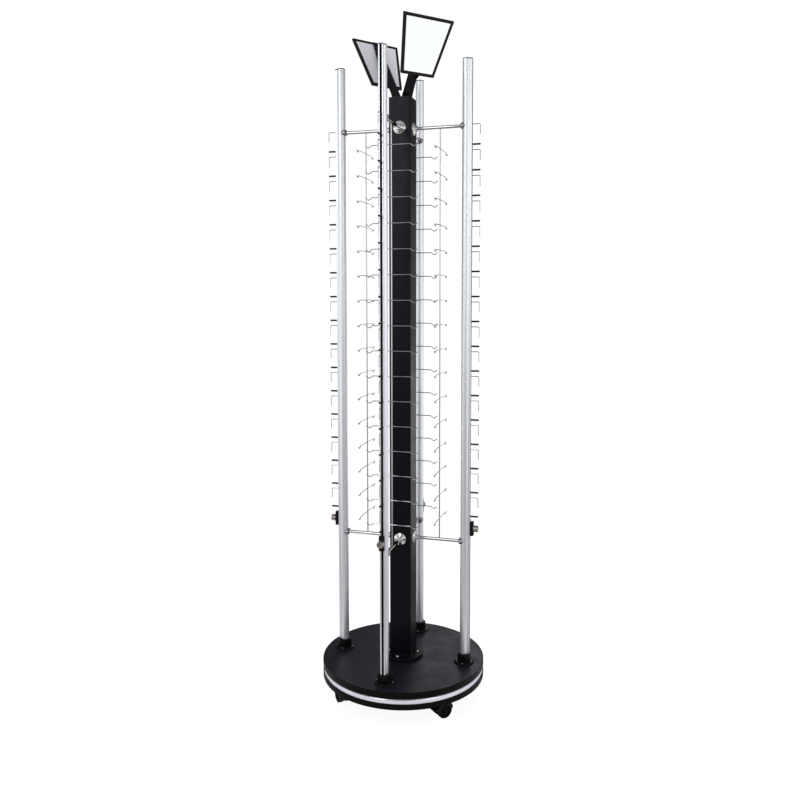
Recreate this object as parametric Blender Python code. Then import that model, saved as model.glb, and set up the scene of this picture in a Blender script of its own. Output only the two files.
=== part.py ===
"""Rotating floor rack for spectacles, in metres, +Z up, origin on the floor under the column.

A castered base carries a turntable. On the turntable stand a square column and four slotted
tubes. Each tube holds a fixed strip of nose pegs and a sliding bar of lock hooks, and each has a
rod of notched wires behind it for the spectacles' temples. Two mirrors lean out above the column.

Every side of the rack is built in one side frame: local +X runs outward from the column's axis,
local +Y runs sideways, and the side's empty turns it to face front, right, back or left.
"""

import math

import bmesh
import bpy
from mathutils import Matrix, Vector

GAP = 0.0003  # left between pieces that touch
ROOM = 0.0004  # around a part in the hole that takes it
CUT_PAST = 0.01  # of a cutter beyond the faces that it opens
INTO = 0.001  # of a piece inside the one that it is joined with

SIDES = {"front": -90, "right": 0, "back": 90, "left": 180}  # degrees about Z of each side's +X
CORNERS = {"front_right": -45, "back_right": 45, "back_left": 135, "front_left": -135}

# Casters
WHEEL_RADIUS = 0.024
WHEEL_WIDTH = 0.0145
WHEEL_SIDES = 16
WHEEL_CENTRE_Z = WHEEL_RADIUS * math.cos(math.pi / WHEEL_SIDES)  # a flat of the rim meets the floor
WHEEL_INNER_Y = 0.0046
WHEEL_EDGE = 0.0025
CASTER_AXLE_RADIUS = 0.003
CASTER_TRAIL = 0.020
CASTER_STEM_AT = 0.201  # from the column's axis
CASTER_HEADINGS = {"front_right": 48, "back_right": 30, "back_left": 155, "front_left": 130}
CASTER_STEM_RADIUS = 0.0055
CASTER_STEM_TOP = 0.0725
CASTER_COLLAR_RADIUS = 0.010
HOOD_RADIUS = 0.0275
HOOD_BORE = 0.0252
HOOD_WIDTH = 0.040
HOOD_WEB = 0.008
HOOD_ARC = (12, 150)  # degrees of the hood over its wheels
HOOD_TAIL = [(-0.019, 0.034), (-0.017, 0.028), (0.004, 0.007), (0.012, 0.007)]
CASTER_COLLAR_BOTTOM = 0.036

# Base and turntable
DISC_RADIUS = 0.250
DISC_SIDES = 48
SEAT_DEPTH = 0.0005  # of the seats that the foot, the collars and the casters stand in
BOTTOM_DISC_Z = (0.060, 0.076)
TOP_DISC_Z = (0.093, 0.112)
TRIM_RADII = (0.240, 0.2475)
TRIM_CLEAR = 0.0008  # under the turning disc
RACE_RADII = (0.120, 0.150)
RACE_SPLIT_Z = 0.0845
RACEWAY_DEPTH = 0.0020
RACEWAY_WIDTH = 0.008
RACE_SIDES = 24

# Column
COLUMN_WIDTH = 0.067
COLUMN_WALL = 0.002
COLUMN_CORNER = 0.004
COLUMN_TOP = 1.814
FOOT_RADIUS = 0.061
FOOT_HEIGHT = 0.0105
FOOT_SIDES = 24
FOOT_EDGE = 0.003

# Slotted tubes
TUBE_AT = 0.194  # tube's axis from the column's axis
TUBE_RADIUS = 0.0127
TUBE_WALL = 0.0016
TUBE_TOP = 1.912
TUBE_BOTTOM = 0.1133
LIP_REACH = 0.0170  # of the slot's lips, from the tube's axis
LIP_HALF_WIDTH = 0.0070
SLOT_HALF_WIDTH = 0.0030
CAP_THICKNESS = 0.003
CAP_PLUG_RADIUS = 0.0105
CAP_PLUG_LENGTH = 0.008
COLLAR_RADIUS = 0.0200
COLLAR_TOP = 0.142
COLLAR_SIDES = 16
COLLAR_FLANGE_RADIUS = 0.030
COLLAR_FLANGE_HEIGHT = 0.0055
COLLAR_FLANGE_DRAFT = 0.002

# Places for spectacles, the same on every tube
PLACES = 16
PLACE_PITCH = 0.0735
LOWEST_PEG_Z = 0.569
PEG_RADIUS = 0.0026
PEG_REACH = 0.0420  # from the tube's axis
PEG_STRIP_X = (-0.0090, -0.0060)
PEG_STRIP_WIDTH = 0.012
PEG_STRIP_Z = (0.122, 1.900)

LOCK_TRAVEL = 0.020
HOOK_ABOVE_PEG = 0.0575
HOOK_WIRE_RADIUS = 0.0018  # to the corners
HOOK_REACH = 0.0405
HOOK_LEG = 0.031
HOOK_BEND = 0.004
LOCK_BAR_X = (0.0015, 0.0045)
LOCK_BAR_WIDTH = 0.014
LOCK_BAR_Z = (0.504, 1.745)
WINDOW_HALF_WIDTH = 0.0032

LOCK_Z = 0.532
BLOCK_X = (LIP_REACH + GAP, 0.0275)
BLOCK_WIDTH = 0.016
BLOCK_HEIGHT = 0.044
TONGUE_HALF_WIDTH = 0.0027
TONGUE_Z = (0.0078, 0.0200)  # above and below the lock's centre
BARREL_RADIUS = 0.010
BARREL_TIP = 0.0413
BARREL_SPIGOT_RADIUS = 0.006
BARREL_BORE = 0.0027
BARREL_EDGE = 0.0015
PLUG_HEAD_RADIUS = 0.0057
PLUG_HEAD_DEPTH = 0.0030
PLUG_SHANK_RADIUS = 0.0023
KEYWAY = (0.0012, 0.0070, 0.0040)  # its width, height and depth
CAM_X = (0.0050, 0.0080)
CAM_HALF_LENGTH = 0.0065
CAM_HALF_WIDTH = 0.0022

# Arms between column and tubes, and the temple rests that hang between the arms
ARM_Z = {"upper": 1.725, "lower": 0.491}
ARM_RADIUS = 0.005
ARM_INSIDE_COLUMN = 0.026
ARM_SIDES = 10
SADDLE_SIDES = 12
ARM_ROOM = 0.0006
ARM_FLANGE_RADIUS = 0.019
ARM_FLANGE_RIM = 0.002
ARM_FLANGE_DEPTH = 0.012
SADDLE_PROFILE = ((0.0178, 0.0070), (0.0152, 0.0098), (0.0060, 0.0102), (0.0015, 0.0088))
# how far short of the tube's axis, and the radius there
SADDLE_WIDEN = 1.42  # sideways, so that it wraps the tube
REST_ROD_AT = 0.1155
REST_ROD_RADIUS = 0.0028  # to the corners
REST_WIRE_RADIUS = 0.0017  # to the corners
REST_WIRE_OFFSET = 0.0024  # outward from the rod's axis
REST_BELOW_PEG = 0.0105
REST_HALF_LENGTH = 0.079
REST_NOTCH_AT = 0.068
REST_NOTCH_INNER = 0.057
REST_NOTCH_DEPTH = 0.008

# Mirrors, in the upright plane that their stem lies in: (distance from the axis, height)
MIRRORS = {"front": -43, "back": 142}  # degrees about Z that each one faces
MIRROR_FOOT = (0.0845, 1.862)  # middle of the front face's bottom edge
MIRROR_LEAN = math.radians(24)
MIRROR_LENGTH = 0.160
MIRROR_TOP_WIDTH = 0.166
MIRROR_BOTTOM_WIDTH = 0.109
MIRROR_FRAME_DEPTH = 0.0070
MIRROR_RIM = 0.0085
GLASS_FACE = -0.0010  # along the mirror's outward normal
GLASS_BACK = -0.0040
STEM_WIDTHS = (0.034, 0.022)  # at the column, at the mirror's top
STEM_THICKNESS = 0.003
STEM_START = (0.0250, 1.8065)
STEM_KNEE = (0.0250, 1.8160)
FLANGE_WALL = 0.002
FLANGE_START = 0.22  # where the side flanges begin, as a share of the way up the strip
FLANGE_END = 0.97
FLANGE_UP = (0.006, 0.148)  # and where they meet the mirror's back, up its face
FLANGE_INSET = 0.0005
STEM_OFF_MIRROR = 0.0005
STEM_BELOW_HEAD = 0.003
BRACKET_CAP_Z = (1.806, 1.810)


# ---------------------------------------------------------------- modelling helpers


def mesh_from(bm, name):
    """A mesh with its faces turned outward; the bmesh is freed."""
    bmesh.ops.recalc_face_normals(bm, faces=bm.faces)
    mesh = bpy.data.meshes.new(name)
    bm.to_mesh(mesh)
    bm.free()
    return mesh


def prism(outline, start, end, name, upright=Matrix.Identity(4)):
    """The outline, a list of (x, y) points, extruded along +Z from start to end, then turned by upright."""
    bm = bmesh.new()
    face = bm.faces.new([bm.verts.new((x, y, start)) for x, y in outline])
    raised = bmesh.ops.extrude_face_region(bm, geom=[face])["geom"]
    tops = [item for item in raised if isinstance(item, bmesh.types.BMVert)]
    bmesh.ops.translate(bm, verts=tops, vec=(0, 0, end - start))
    bmesh.ops.transform(bm, matrix=upright, verts=bm.verts)
    return mesh_from(bm, name)


def box(low, high, name):
    """A box between two corners."""
    outline = [(low[0], low[1]), (high[0], low[1]), (high[0], high[1]), (low[0], high[1])]
    return prism(outline, low[2], high[2], name)


def turned(profile, sides, name, ring=False, upright=Matrix.Identity(4)):
    """A profile of (radius, height) points turned about Z. A ring's profile is a closed loop."""
    bm = bmesh.new()
    rows = []
    for radius, height in profile:
        angles = [2 * math.pi * i / sides for i in range(sides)]
        if radius == 0:
            rows.append([bm.verts.new((0, 0, height))])
        else:
            rows.append([bm.verts.new((radius * math.cos(a), radius * math.sin(a), height)) for a in angles])
    pairs = list(zip(rows, rows[1:]))
    if ring:
        pairs.append((rows[-1], rows[0]))
    for lower, upper in pairs:
        for i in range(sides):
            j = (i + 1) % sides
            corners = [lower[i % len(lower)], lower[j % len(lower)]]
            corners += [upper[j % len(upper)], upper[i % len(upper)]]
            bm.faces.new(list(dict.fromkeys(corners)))
    if not ring:
        for row in (rows[0], rows[-1]):
            if len(row) > 1:
                bm.faces.new(row)
    bmesh.ops.transform(bm, matrix=upright, verts=bm.verts)
    return mesh_from(bm, name)


def wires(routes, radius, sides, name):
    """Round wires with flat ends, each swept along its own points, which lie in an upright plane."""
    bm = bmesh.new()
    for points in routes:
        points = [Vector(p) for p in points]
        normal = plane_normal(points)
        rows = []
        for i, point in enumerate(points):
            before = (point - points[i - 1]).normalized() if i else None
            after = (points[i + 1] - point).normalized() if i + 1 < len(points) else None
            along = ((before or after) + (after or before)).normalized()
            across = normal.cross(along)
            stretch = 1 / max(along.dot(after or before), 0.5)  # keeps a mitred bend as thick as the wire
            turns = [2 * math.pi * (k + 0.5) / sides for k in range(sides)]
            rows.append(
                [
                    bm.verts.new(point + radius * (math.cos(t) * stretch * across + math.sin(t) * normal))
                    for t in turns
                ]
            )
        for lower, upper in zip(rows, rows[1:]):
            for k in range(sides):
                m = (k + 1) % sides
                bm.faces.new([lower[k], lower[m], upper[m], upper[k]])
        bm.faces.new(rows[0])
        bm.faces.new(rows[-1])
    return mesh_from(bm, name)


def plane_normal(points):
    """The unit normal of the plane that a wire's points lie in; straight wires take a horizontal one."""
    first = points[1] - points[0]
    for a, b in zip(points[1:], points[2:]):
        normal = first.cross(b - a)
        if normal.length > 1e-9:
            return normal.normalized()
    return first.orthogonal().normalized()


def boolean(mesh, other, operation):
    """The two meshes joined ('UNION') or the second cut from the first ('DIFFERENCE')."""
    kept = bpy.data.objects.new("kept", mesh)
    tool = bpy.data.objects.new("tool", other)
    for obj in (kept, tool):
        bpy.context.scene.collection.objects.link(obj)
    modifier = kept.modifiers.new("boolean", "BOOLEAN")
    modifier.operation = operation
    modifier.solver = "EXACT"
    modifier.object = tool
    graph = bpy.context.evaluated_depsgraph_get()
    result = bpy.data.meshes.new_from_object(kept.evaluated_get(graph))
    for obj in (kept, tool):
        bpy.data.objects.remove(obj, do_unlink=True)
    return result


def joined(mesh, *others):
    for other in others:
        mesh = boolean(mesh, other, "UNION")
    return mesh


def cut(mesh, *cutters):
    for cutter in cutters:
        mesh = boolean(mesh, cutter, "DIFFERENCE")
    return mesh


def many(meshes, name):
    """Separate meshes held in one, as a single operand for a Boolean."""
    bm = bmesh.new()
    for mesh in meshes:
        bm.from_mesh(mesh)
    return mesh_from(bm, name)


def material(name, colour, roughness, metallic=0.0):
    made = bpy.data.materials.new(name)
    made.use_nodes = True
    shader = made.node_tree.nodes["Principled BSDF"]
    shader.inputs["Base Color"].default_value = (*colour, 1.0)
    shader.inputs["Roughness"].default_value = roughness
    shader.inputs["Metallic"].default_value = metallic
    return made


def place(name, mesh, made_of, parent=None, location=(0, 0, 0), smooth=True):
    """An object of this mesh, which may be shared, at a location under its parent."""
    if smooth:
        mesh.shade_smooth()
        mesh.set_sharp_from_angle(angle=math.radians(35))
    if not mesh.materials:
        mesh.materials.append(made_of)
    obj = bpy.data.objects.new(name, mesh)
    bpy.context.scene.collection.objects.link(obj)
    obj.parent = parent
    obj.location = location
    return obj


def empty(name, location=(0, 0, 0), degrees=0, parent=None):
    """A frame whose +X points degrees round from its parent's."""
    frame = bpy.data.objects.new(name, None)
    bpy.context.scene.collection.objects.link(frame)
    frame.parent = parent
    frame.location = location
    frame.rotation_euler = (0, 0, math.radians(degrees))
    return frame


def arc(radius, start, end, steps, centre=(0, 0)):
    """Points on an arc, from start to end degrees."""
    turns = [math.radians(start + (end - start) * i / steps) for i in range(steps + 1)]
    return [(centre[0] + radius * math.cos(t), centre[1] + radius * math.sin(t)) for t in turns]


def rounded_square(half, corner, steps=3):
    inner = half - corner
    middles = [(inner, inner), (-inner, inner), (-inner, -inner), (inner, -inner)]
    return [p for i, m in enumerate(middles) for p in arc(corner, 90 * i, 90 * i + 90, steps, m)]


ALONG_X = Matrix.Rotation(math.radians(90), 4, "Y")  # turns a piece made along +Z to run along +X
ALONG_Y = Matrix.Rotation(math.radians(-90), 4, "X")  # and this one to run along +Y


# ---------------------------------------------------------------- sections of the slotted tube


def keyhole(radius, lip_reach, lip_half_width, steps):
    """The tube's outside: a circle with the slot's two lips standing out at +X."""
    lip_angle = math.degrees(math.asin(lip_half_width / radius))
    points = arc(radius, lip_angle, 360 - lip_angle, steps)
    return points + [(lip_reach, -lip_half_width), (lip_reach, lip_half_width)]


def slotted_section():
    """The tube's wall: the keyhole with its bore, open through the slot."""
    bore = TUBE_RADIUS - TUBE_WALL
    slot_angle = math.degrees(math.asin(SLOT_HALF_WIDTH / bore))
    outside = keyhole(TUBE_RADIUS, LIP_REACH, LIP_HALF_WIDTH, 14)
    inside = arc(bore, 360 - slot_angle, slot_angle, 12)
    lower_lip = outside[:-1] + [(LIP_REACH, -SLOT_HALF_WIDTH)]
    return lower_lip + inside + [(LIP_REACH, SLOT_HALF_WIDTH), (LIP_REACH, LIP_HALF_WIDTH)]


# ---------------------------------------------------------------- materials

BLACK_BOARD = material("black_board", (0.030, 0.028, 0.032), 0.45)
BLACK_STEEL = material("black_steel", (0.018, 0.018, 0.020), 0.35, 0.2)
BLACK_PLASTIC = material("black_plastic", (0.012, 0.012, 0.013), 0.40)
BLACK_RUBBER = material("black_rubber", (0.020, 0.020, 0.020), 0.75)
SATIN_ALUMINIUM = material("satin_aluminium", (0.75, 0.76, 0.80), 0.30, 0.9)
TRIM_ALUMINIUM = material("trim_aluminium", (0.72, 0.70, 0.80), 0.35, 0.8)
CHROME = material("chrome", (0.80, 0.80, 0.82), 0.08, 1.0)
NICKEL = material("nickel", (0.72, 0.72, 0.70), 0.18, 1.0)
ZINC_STEEL = material("zinc_steel", (0.55, 0.56, 0.58), 0.35, 0.9)
MIRROR_GLASS = material("mirror_glass", (0.92, 0.94, 0.95), 0.02, 1.0)


# ---------------------------------------------------------------- base


def build_base():
    bottom, top = BOTTOM_DISC_Z
    seat, bore = CASTER_COLLAR_RADIUS + 2 * ROOM, CASTER_STEM_RADIUS + ROOM
    profile = [(seat, bottom - CUT_PAST), (seat, bottom + SEAT_DEPTH), (bore, bottom + SEAT_DEPTH)]
    profile.append((bore, CASTER_STEM_TOP + ROOM))
    holes = spread(turned(profile, 12, "stem_hole"), CASTER_STEM_AT, CORNERS)
    disc = turned([(DISC_RADIUS, bottom), (DISC_RADIUS, top)], DISC_SIDES, "bottom_disc")
    place("bottom_disc", cut(disc, holes), BLACK_BOARD)

    inner, outer = TRIM_RADII
    low, high = top + GAP, TOP_DISC_Z[0] - TRIM_CLEAR
    loop = [(inner, low), (outer, low), (outer, high), (inner, high)]
    place("trim_ring", turned(loop, DISC_SIDES, "trim_ring", ring=True), TRIM_ALUMINIUM)

    place("bearing_lower_race", race(top + GAP, RACE_SPLIT_Z - GAP, "bearing_lower_race"), ZINC_STEEL)


def spread(mesh, distance, turns):
    """Copies of a mesh at this distance from the column's axis, one for each direction, held in one mesh."""
    outward = Matrix.Translation((distance, 0, 0))
    copies = []
    for degrees in turns.values():
        copies.append(mesh.copy())
        copies[-1].transform(Matrix.Rotation(math.radians(degrees), 4, "Z") @ outward)
    return many(copies, "spread")


def race(seat, running, name):
    """A bearing ring with its raceway cut into the running face."""
    inner, outer = RACE_RADII
    middle, half = (inner + outer) / 2, RACEWAY_WIDTH / 2
    groove = running + (RACEWAY_DEPTH if seat > running else -RACEWAY_DEPTH)
    loop = [(inner, seat), (outer, seat), (outer, running), (middle + half, running)]
    loop += [(middle, groove), (middle - half, running), (inner, running)]
    return turned(loop, RACE_SIDES, name, ring=True)


def build_casters():
    hood, wheels = caster_hood(), caster_wheels()
    for corner, degrees in CORNERS.items():
        spoke = empty(f"{corner}_spoke", degrees=degrees)
        heading = CASTER_HEADINGS[corner] - degrees
        swivel = empty(f"{corner}_swivel", (CASTER_STEM_AT, 0, 0), degrees=heading, parent=spoke)
        place(f"caster_hood_{corner}", hood, BLACK_PLASTIC, swivel)
        place(f"caster_wheels_{corner}", wheels, BLACK_PLASTIC, swivel, (CASTER_TRAIL, 0, WHEEL_CENTRE_Z))


def caster_hood():
    """The caster's body about its stem: a web on the axle, a hood over both wheels and the stem on top."""
    centre = (CASTER_TRAIL, WHEEL_CENTRE_Z)
    side = arc(HOOD_RADIUS, *HOOD_ARC, 8, centre) + HOOD_TAIL
    side.append((centre[0] + HOOD_BORE, centre[1]))
    upright = Matrix.Rotation(math.radians(90), 4, "X")
    hood = prism(side, -HOOD_WIDTH / 2, HOOD_WIDTH / 2, "caster_hood", upright)
    at_wheel = Matrix.Translation((centre[0], 0, centre[1]))
    for start, end in ((-HOOD_WIDTH, -HOOD_WEB / 2), (HOOD_WEB / 2, HOOD_WIDTH)):
        wheel_room = [(HOOD_BORE, start), (HOOD_BORE, end)]
        hood = cut(hood, turned(wheel_room, WHEEL_SIDES, "wheel_room", upright=at_wheel @ ALONG_Y))
    axle_room = [(CASTER_AXLE_RADIUS + GAP, -CUT_PAST), (CASTER_AXLE_RADIUS + GAP, CUT_PAST)]
    hood = cut(hood, turned(axle_room, 12, "axle_room", upright=at_wheel @ ALONG_Y))
    under = BOTTOM_DISC_Z[0] + SEAT_DEPTH - GAP
    stem = [(CASTER_COLLAR_RADIUS, level) for level in (CASTER_COLLAR_BOTTOM, under)]
    stem.append((CASTER_STEM_RADIUS, under))
    stem.append((CASTER_STEM_RADIUS, CASTER_STEM_TOP))
    return joined(hood, cut(turned(stem, 12, "stem"), wheel_space(at_wheel)))


def wheel_space(at_wheel):
    """The round room of both wheels, which the stem's collar must stay out of."""
    room = [(HOOD_BORE, -HOOD_WIDTH), (HOOD_BORE, HOOD_WIDTH)]
    return turned(room, WHEEL_SIDES, "wheel_space", upright=at_wheel @ ALONG_Y)


def caster_wheels():
    """Both wheels on their axle, turned about Y with a flat of the rims downward."""
    outer = WHEEL_INNER_Y + WHEEL_WIDTH
    half = [(CASTER_AXLE_RADIUS, WHEEL_INNER_Y), (WHEEL_RADIUS, WHEEL_INNER_Y)]
    half += [(WHEEL_RADIUS, outer - WHEEL_EDGE), (WHEEL_RADIUS - WHEEL_EDGE, outer)]
    profile = [(radius, -y) for radius, y in reversed(half)] + half
    flat_down = Matrix.Rotation(math.pi / WHEEL_SIDES, 4, "Z")
    return turned(profile, WHEEL_SIDES, "caster_wheels", upright=ALONG_Y @ flat_down)


# ---------------------------------------------------------------- turntable and column


def build_turntable():
    place("bearing_upper_race", race(TOP_DISC_Z[0] - GAP, RACE_SPLIT_Z, "bearing_upper_race"), ZINC_STEEL)
    low, high = TOP_DISC_Z
    disc = turned([(DISC_RADIUS, low), (DISC_RADIUS, high)], DISC_SIDES, "top_disc")
    seat = (high - SEAT_DEPTH, high + CUT_PAST)
    foot, collar = FOOT_RADIUS + GAP, COLLAR_FLANGE_RADIUS + GAP
    foot_seat = turned([(foot, level) for level in seat], FOOT_SIDES, "foot_seat")
    collar_seat = turned([(collar, level) for level in seat], COLLAR_SIDES, "collar_seat")
    place("top_disc", cut(disc, foot_seat, spread(collar_seat, TUBE_AT, SIDES)), BLACK_BOARD)


def build_column():
    foot_z = TOP_DISC_Z[1] - SEAT_DEPTH + GAP
    top = foot_z + FOOT_HEIGHT
    profile = [(FOOT_RADIUS, foot_z), (FOOT_RADIUS, top - FOOT_EDGE), (FOOT_RADIUS - FOOT_EDGE, top)]
    place("column_foot", turned(profile, FOOT_SIDES, "column_foot"), BLACK_STEEL)

    bottom = top + GAP
    half = COLUMN_WIDTH / 2
    post = prism(rounded_square(half, COLUMN_CORNER), bottom, COLUMN_TOP, "column_post")
    bore = rounded_square(half - COLUMN_WALL, COLUMN_CORNER - COLUMN_WALL, 2)
    post = cut(post, prism(bore, bottom - CUT_PAST, COLUMN_TOP + CUT_PAST, "column_bore"))
    drill = [(ARM_RADIUS + ARM_ROOM, -COLUMN_WIDTH), (ARM_RADIUS + ARM_ROOM, COLUMN_WIDTH)]
    for height in ARM_Z.values():
        for turn in (ALONG_X, ALONG_Y):
            at_arm = Matrix.Translation((0, 0, height))
            post = cut(post, turned(drill, 8, "arm_hole", upright=at_arm @ turn))
    place("column_post", post, BLACK_STEEL)


# ---------------------------------------------------------------- one side of the rack


def arm():
    """A rod along +X with its trumpet flange at the column and its saddle against the tube."""
    column_face = COLUMN_WIDTH / 2 + GAP
    saddle_start = TUBE_AT - SADDLE_PROFILE[0][0]
    profile = [
        (ARM_RADIUS, ARM_INSIDE_COLUMN),
        (ARM_RADIUS, column_face),
        (ARM_FLANGE_RADIUS, column_face),
        (ARM_FLANGE_RADIUS, column_face + ARM_FLANGE_RIM),
        (ARM_RADIUS, column_face + ARM_FLANGE_DEPTH),
        (ARM_RADIUS, saddle_start + INTO),
    ]
    rod = turned(profile, ARM_SIDES, "arm", upright=ALONG_X)
    profile = [(radius, TUBE_AT - short) for short, radius in SADDLE_PROFILE]
    widen = Matrix.Diagonal((1, SADDLE_WIDEN, 1, 1))
    rod = joined(rod, turned(profile, SADDLE_SIDES, "saddle", upright=widen @ ALONG_X))
    room = turned([(TUBE_RADIUS + ROOM, -TUBE_RADIUS), (TUBE_RADIUS + ROOM, TUBE_RADIUS)], 16, "tube_room")
    room.transform(Matrix.Translation((TUBE_AT, 0, 0)))
    return cut(rod, room)


def temple_rest():
    """The upright rod with its notched wires, about the rod's own axis."""
    low = ARM_Z["lower"] + ARM_RADIUS + GAP
    high = ARM_Z["upper"] - ARM_RADIUS - GAP
    flat_outward = Matrix.Rotation(math.pi / 4, 4, "Z")
    section = [(REST_ROD_RADIUS, low), (REST_ROD_RADIUS, high)]
    rod = turned(section, 4, "temple_rest_rod", upright=flat_outward)
    half_route = [(REST_NOTCH_INNER, 0), (REST_NOTCH_AT, -REST_NOTCH_DEPTH), (REST_HALF_LENGTH, 0)]
    route = [(-y, drop) for y, drop in reversed(half_route)] + half_route
    routes = []
    for place_number in range(PLACES):
        level = LOWEST_PEG_Z + place_number * PLACE_PITCH - REST_BELOW_PEG
        routes.append([(REST_WIRE_OFFSET, y, level + drop) for y, drop in route])
    return joined(rod, wires(routes, REST_WIRE_RADIUS, 4, "temple_wires"))


def nose_peg_strip():
    """The fixed strip inside the tube with the nose pegs that stand out through the slot."""
    back, front = PEG_STRIP_X
    half = PEG_STRIP_WIDTH / 2
    strip = box((back, -half, PEG_STRIP_Z[0]), (front, half, PEG_STRIP_Z[1]), "peg_strip")
    peg = turned([(PEG_RADIUS, (back + front) / 2), (PEG_RADIUS, PEG_REACH)], 6, "peg", upright=ALONG_X)
    return joined(strip, many([raised(peg, level) for level in peg_levels()], "pegs"))


def peg_levels():
    return [LOWEST_PEG_Z + i * PLACE_PITCH for i in range(PLACES)]


def raised(mesh, height):
    copy = mesh.copy()
    copy.transform(Matrix.Translation((0, 0, height)))
    return copy


def lock_bar():
    """The sliding bar with its windows for the pegs, its hooks, and the block that carries the lock."""
    back, front = LOCK_BAR_X
    half = LOCK_BAR_WIDTH / 2
    bar = box((back, -half, LOCK_BAR_Z[0]), (front, half, LOCK_BAR_Z[1]), "lock_bar")
    clear = WINDOW_HALF_WIDTH
    window = box((back - CUT_PAST, -clear, -clear), (front + CUT_PAST, clear, LOCK_TRAVEL + clear), "window")
    bar = cut(bar, many([raised(window, level) for level in peg_levels()], "windows"))

    routes = []
    for level in peg_levels():
        z = level + HOOK_ABOVE_PEG
        start = (back + front) / 2
        routes.append(
            [
                (start, 0, z),
                (HOOK_REACH - HOOK_BEND, 0, z),
                (HOOK_REACH, 0, z - HOOK_BEND),
                (HOOK_REACH, 0, z - HOOK_LEG),
            ]
        )
    bar = joined(bar, wires(routes, HOOK_WIRE_RADIUS, 4, "hooks"))

    half = BLOCK_WIDTH / 2
    low, high = LOCK_Z - BLOCK_HEIGHT / 2, LOCK_Z + BLOCK_HEIGHT / 2
    block = box((BLOCK_X[0], -half, low), (BLOCK_X[1], half, high), "lock_block")
    for start, end in (TONGUE_Z, (-TONGUE_Z[1], -TONGUE_Z[0])):
        corner = (back + INTO, -TONGUE_HALF_WIDTH, LOCK_Z + start)
        far = (BLOCK_X[0] + INTO, TONGUE_HALF_WIDTH, LOCK_Z + end)
        block = joined(block, box(corner, far, "tongue"))
    bore = BARREL_SPIGOT_RADIUS + ROOM
    at_lock = Matrix.Translation((0, 0, LOCK_Z))
    drill = [(bore, TUBE_RADIUS), (bore, BARREL_TIP)]
    block = cut(block, turned(drill, 12, "barrel_hole", upright=at_lock @ ALONG_X))
    return joined(bar, block)


def lock_barrel():
    """The nickel cylinder, turned about the lock's axis, along +X."""
    seat = BLOCK_X[1] + GAP
    pocket = BARREL_TIP - PLUG_HEAD_DEPTH
    head_room = PLUG_HEAD_RADIUS + ROOM
    loop = [
        (BARREL_BORE, BLOCK_X[0] + GAP),
        (BARREL_SPIGOT_RADIUS, BLOCK_X[0] + GAP),
        (BARREL_SPIGOT_RADIUS, seat),
        (BARREL_RADIUS, seat),
        (BARREL_RADIUS, BARREL_TIP - BARREL_EDGE),
        (BARREL_RADIUS - BARREL_EDGE, BARREL_TIP),
        (head_room, BARREL_TIP),
        (head_room, pocket),
        (BARREL_BORE, pocket),
    ]
    return turned(loop, 10, "lock_barrel", ring=True, upright=ALONG_X)


def lock_plug():
    """The key plug with its shank and the cam that the key turns behind the slot."""
    head = BARREL_TIP - PLUG_HEAD_DEPTH + GAP
    profile = [(PLUG_SHANK_RADIUS, CAM_X[0] + INTO), (PLUG_SHANK_RADIUS, head), (PLUG_HEAD_RADIUS, head)]
    profile.append((PLUG_HEAD_RADIUS, BARREL_TIP - GAP))
    plug = turned(profile, 10, "lock_plug", upright=ALONG_X)
    width, height, depth = (size / 2 for size in KEYWAY)
    keyway = box((BARREL_TIP - depth, -width, -height), (BARREL_TIP + depth, width, height), "keyway")
    cam = box(
        (CAM_X[0], -CAM_HALF_WIDTH, -CAM_HALF_LENGTH), (CAM_X[1], CAM_HALF_WIDTH, CAM_HALF_LENGTH), "cam"
    )
    return joined(cut(plug, keyway), cam)


def tube_cap():
    low = TUBE_TOP + GAP
    plate = prism(keyhole(TUBE_RADIUS, LIP_REACH, LIP_HALF_WIDTH, 14), low, low + CAP_THICKNESS, "cap_plate")
    plug = turned([(CAP_PLUG_RADIUS, low - CAP_PLUG_LENGTH), (CAP_PLUG_RADIUS, low + INTO)], 14, "cap_plug")
    return joined(plate, plug)


def tube_collar():
    low = TOP_DISC_Z[1] - SEAT_DEPTH + GAP
    ledge = low + COLLAR_FLANGE_HEIGHT
    profile = [(COLLAR_FLANGE_RADIUS, low), (COLLAR_FLANGE_RADIUS - COLLAR_FLANGE_DRAFT, ledge)]
    profile += [(COLLAR_RADIUS, ledge), (COLLAR_RADIUS, COLLAR_TOP)]
    room = keyhole(TUBE_RADIUS + ROOM, LIP_REACH + GAP, LIP_HALF_WIDTH + GAP, 14)
    tube_room = prism(room, low - CUT_PAST, COLLAR_TOP + CUT_PAST, "tube_room")
    return cut(turned(profile, COLLAR_SIDES, "tube_collar"), tube_room)


def build_sides():
    tube = prism(slotted_section(), TUBE_BOTTOM, TUBE_TOP, "tube")
    at_tube = {
        "slotted_tube": (tube, SATIN_ALUMINIUM),
        "tube_cap": (tube_cap(), SATIN_ALUMINIUM),
        "tube_collar": (tube_collar(), BLACK_PLASTIC),
        "nose_peg_strip": (nose_peg_strip(), BLACK_RUBBER),
        "lock_bar": (lock_bar(), BLACK_STEEL),
    }
    barrel, plug, rest, rod = lock_barrel(), lock_plug(), temple_rest(), arm()
    for side, degrees in SIDES.items():
        frame = empty(f"{side}_side", degrees=degrees)
        for name, (mesh, made_of) in at_tube.items():
            place(f"{name}_{side}", mesh, made_of, frame, (TUBE_AT, 0, 0))
        place(f"lock_barrel_{side}", barrel, NICKEL, frame, (TUBE_AT, 0, LOCK_Z))
        place(f"lock_plug_{side}", plug, NICKEL, frame, (TUBE_AT, 0, LOCK_Z))
        place(f"temple_rest_{side}", rest, ZINC_STEEL, frame, (REST_ROD_AT, 0, 0))
        for level, height in ARM_Z.items():
            place(f"{level}_arm_{side}", rod, CHROME, frame, (0, 0, height))


# ---------------------------------------------------------------- mirrors


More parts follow.
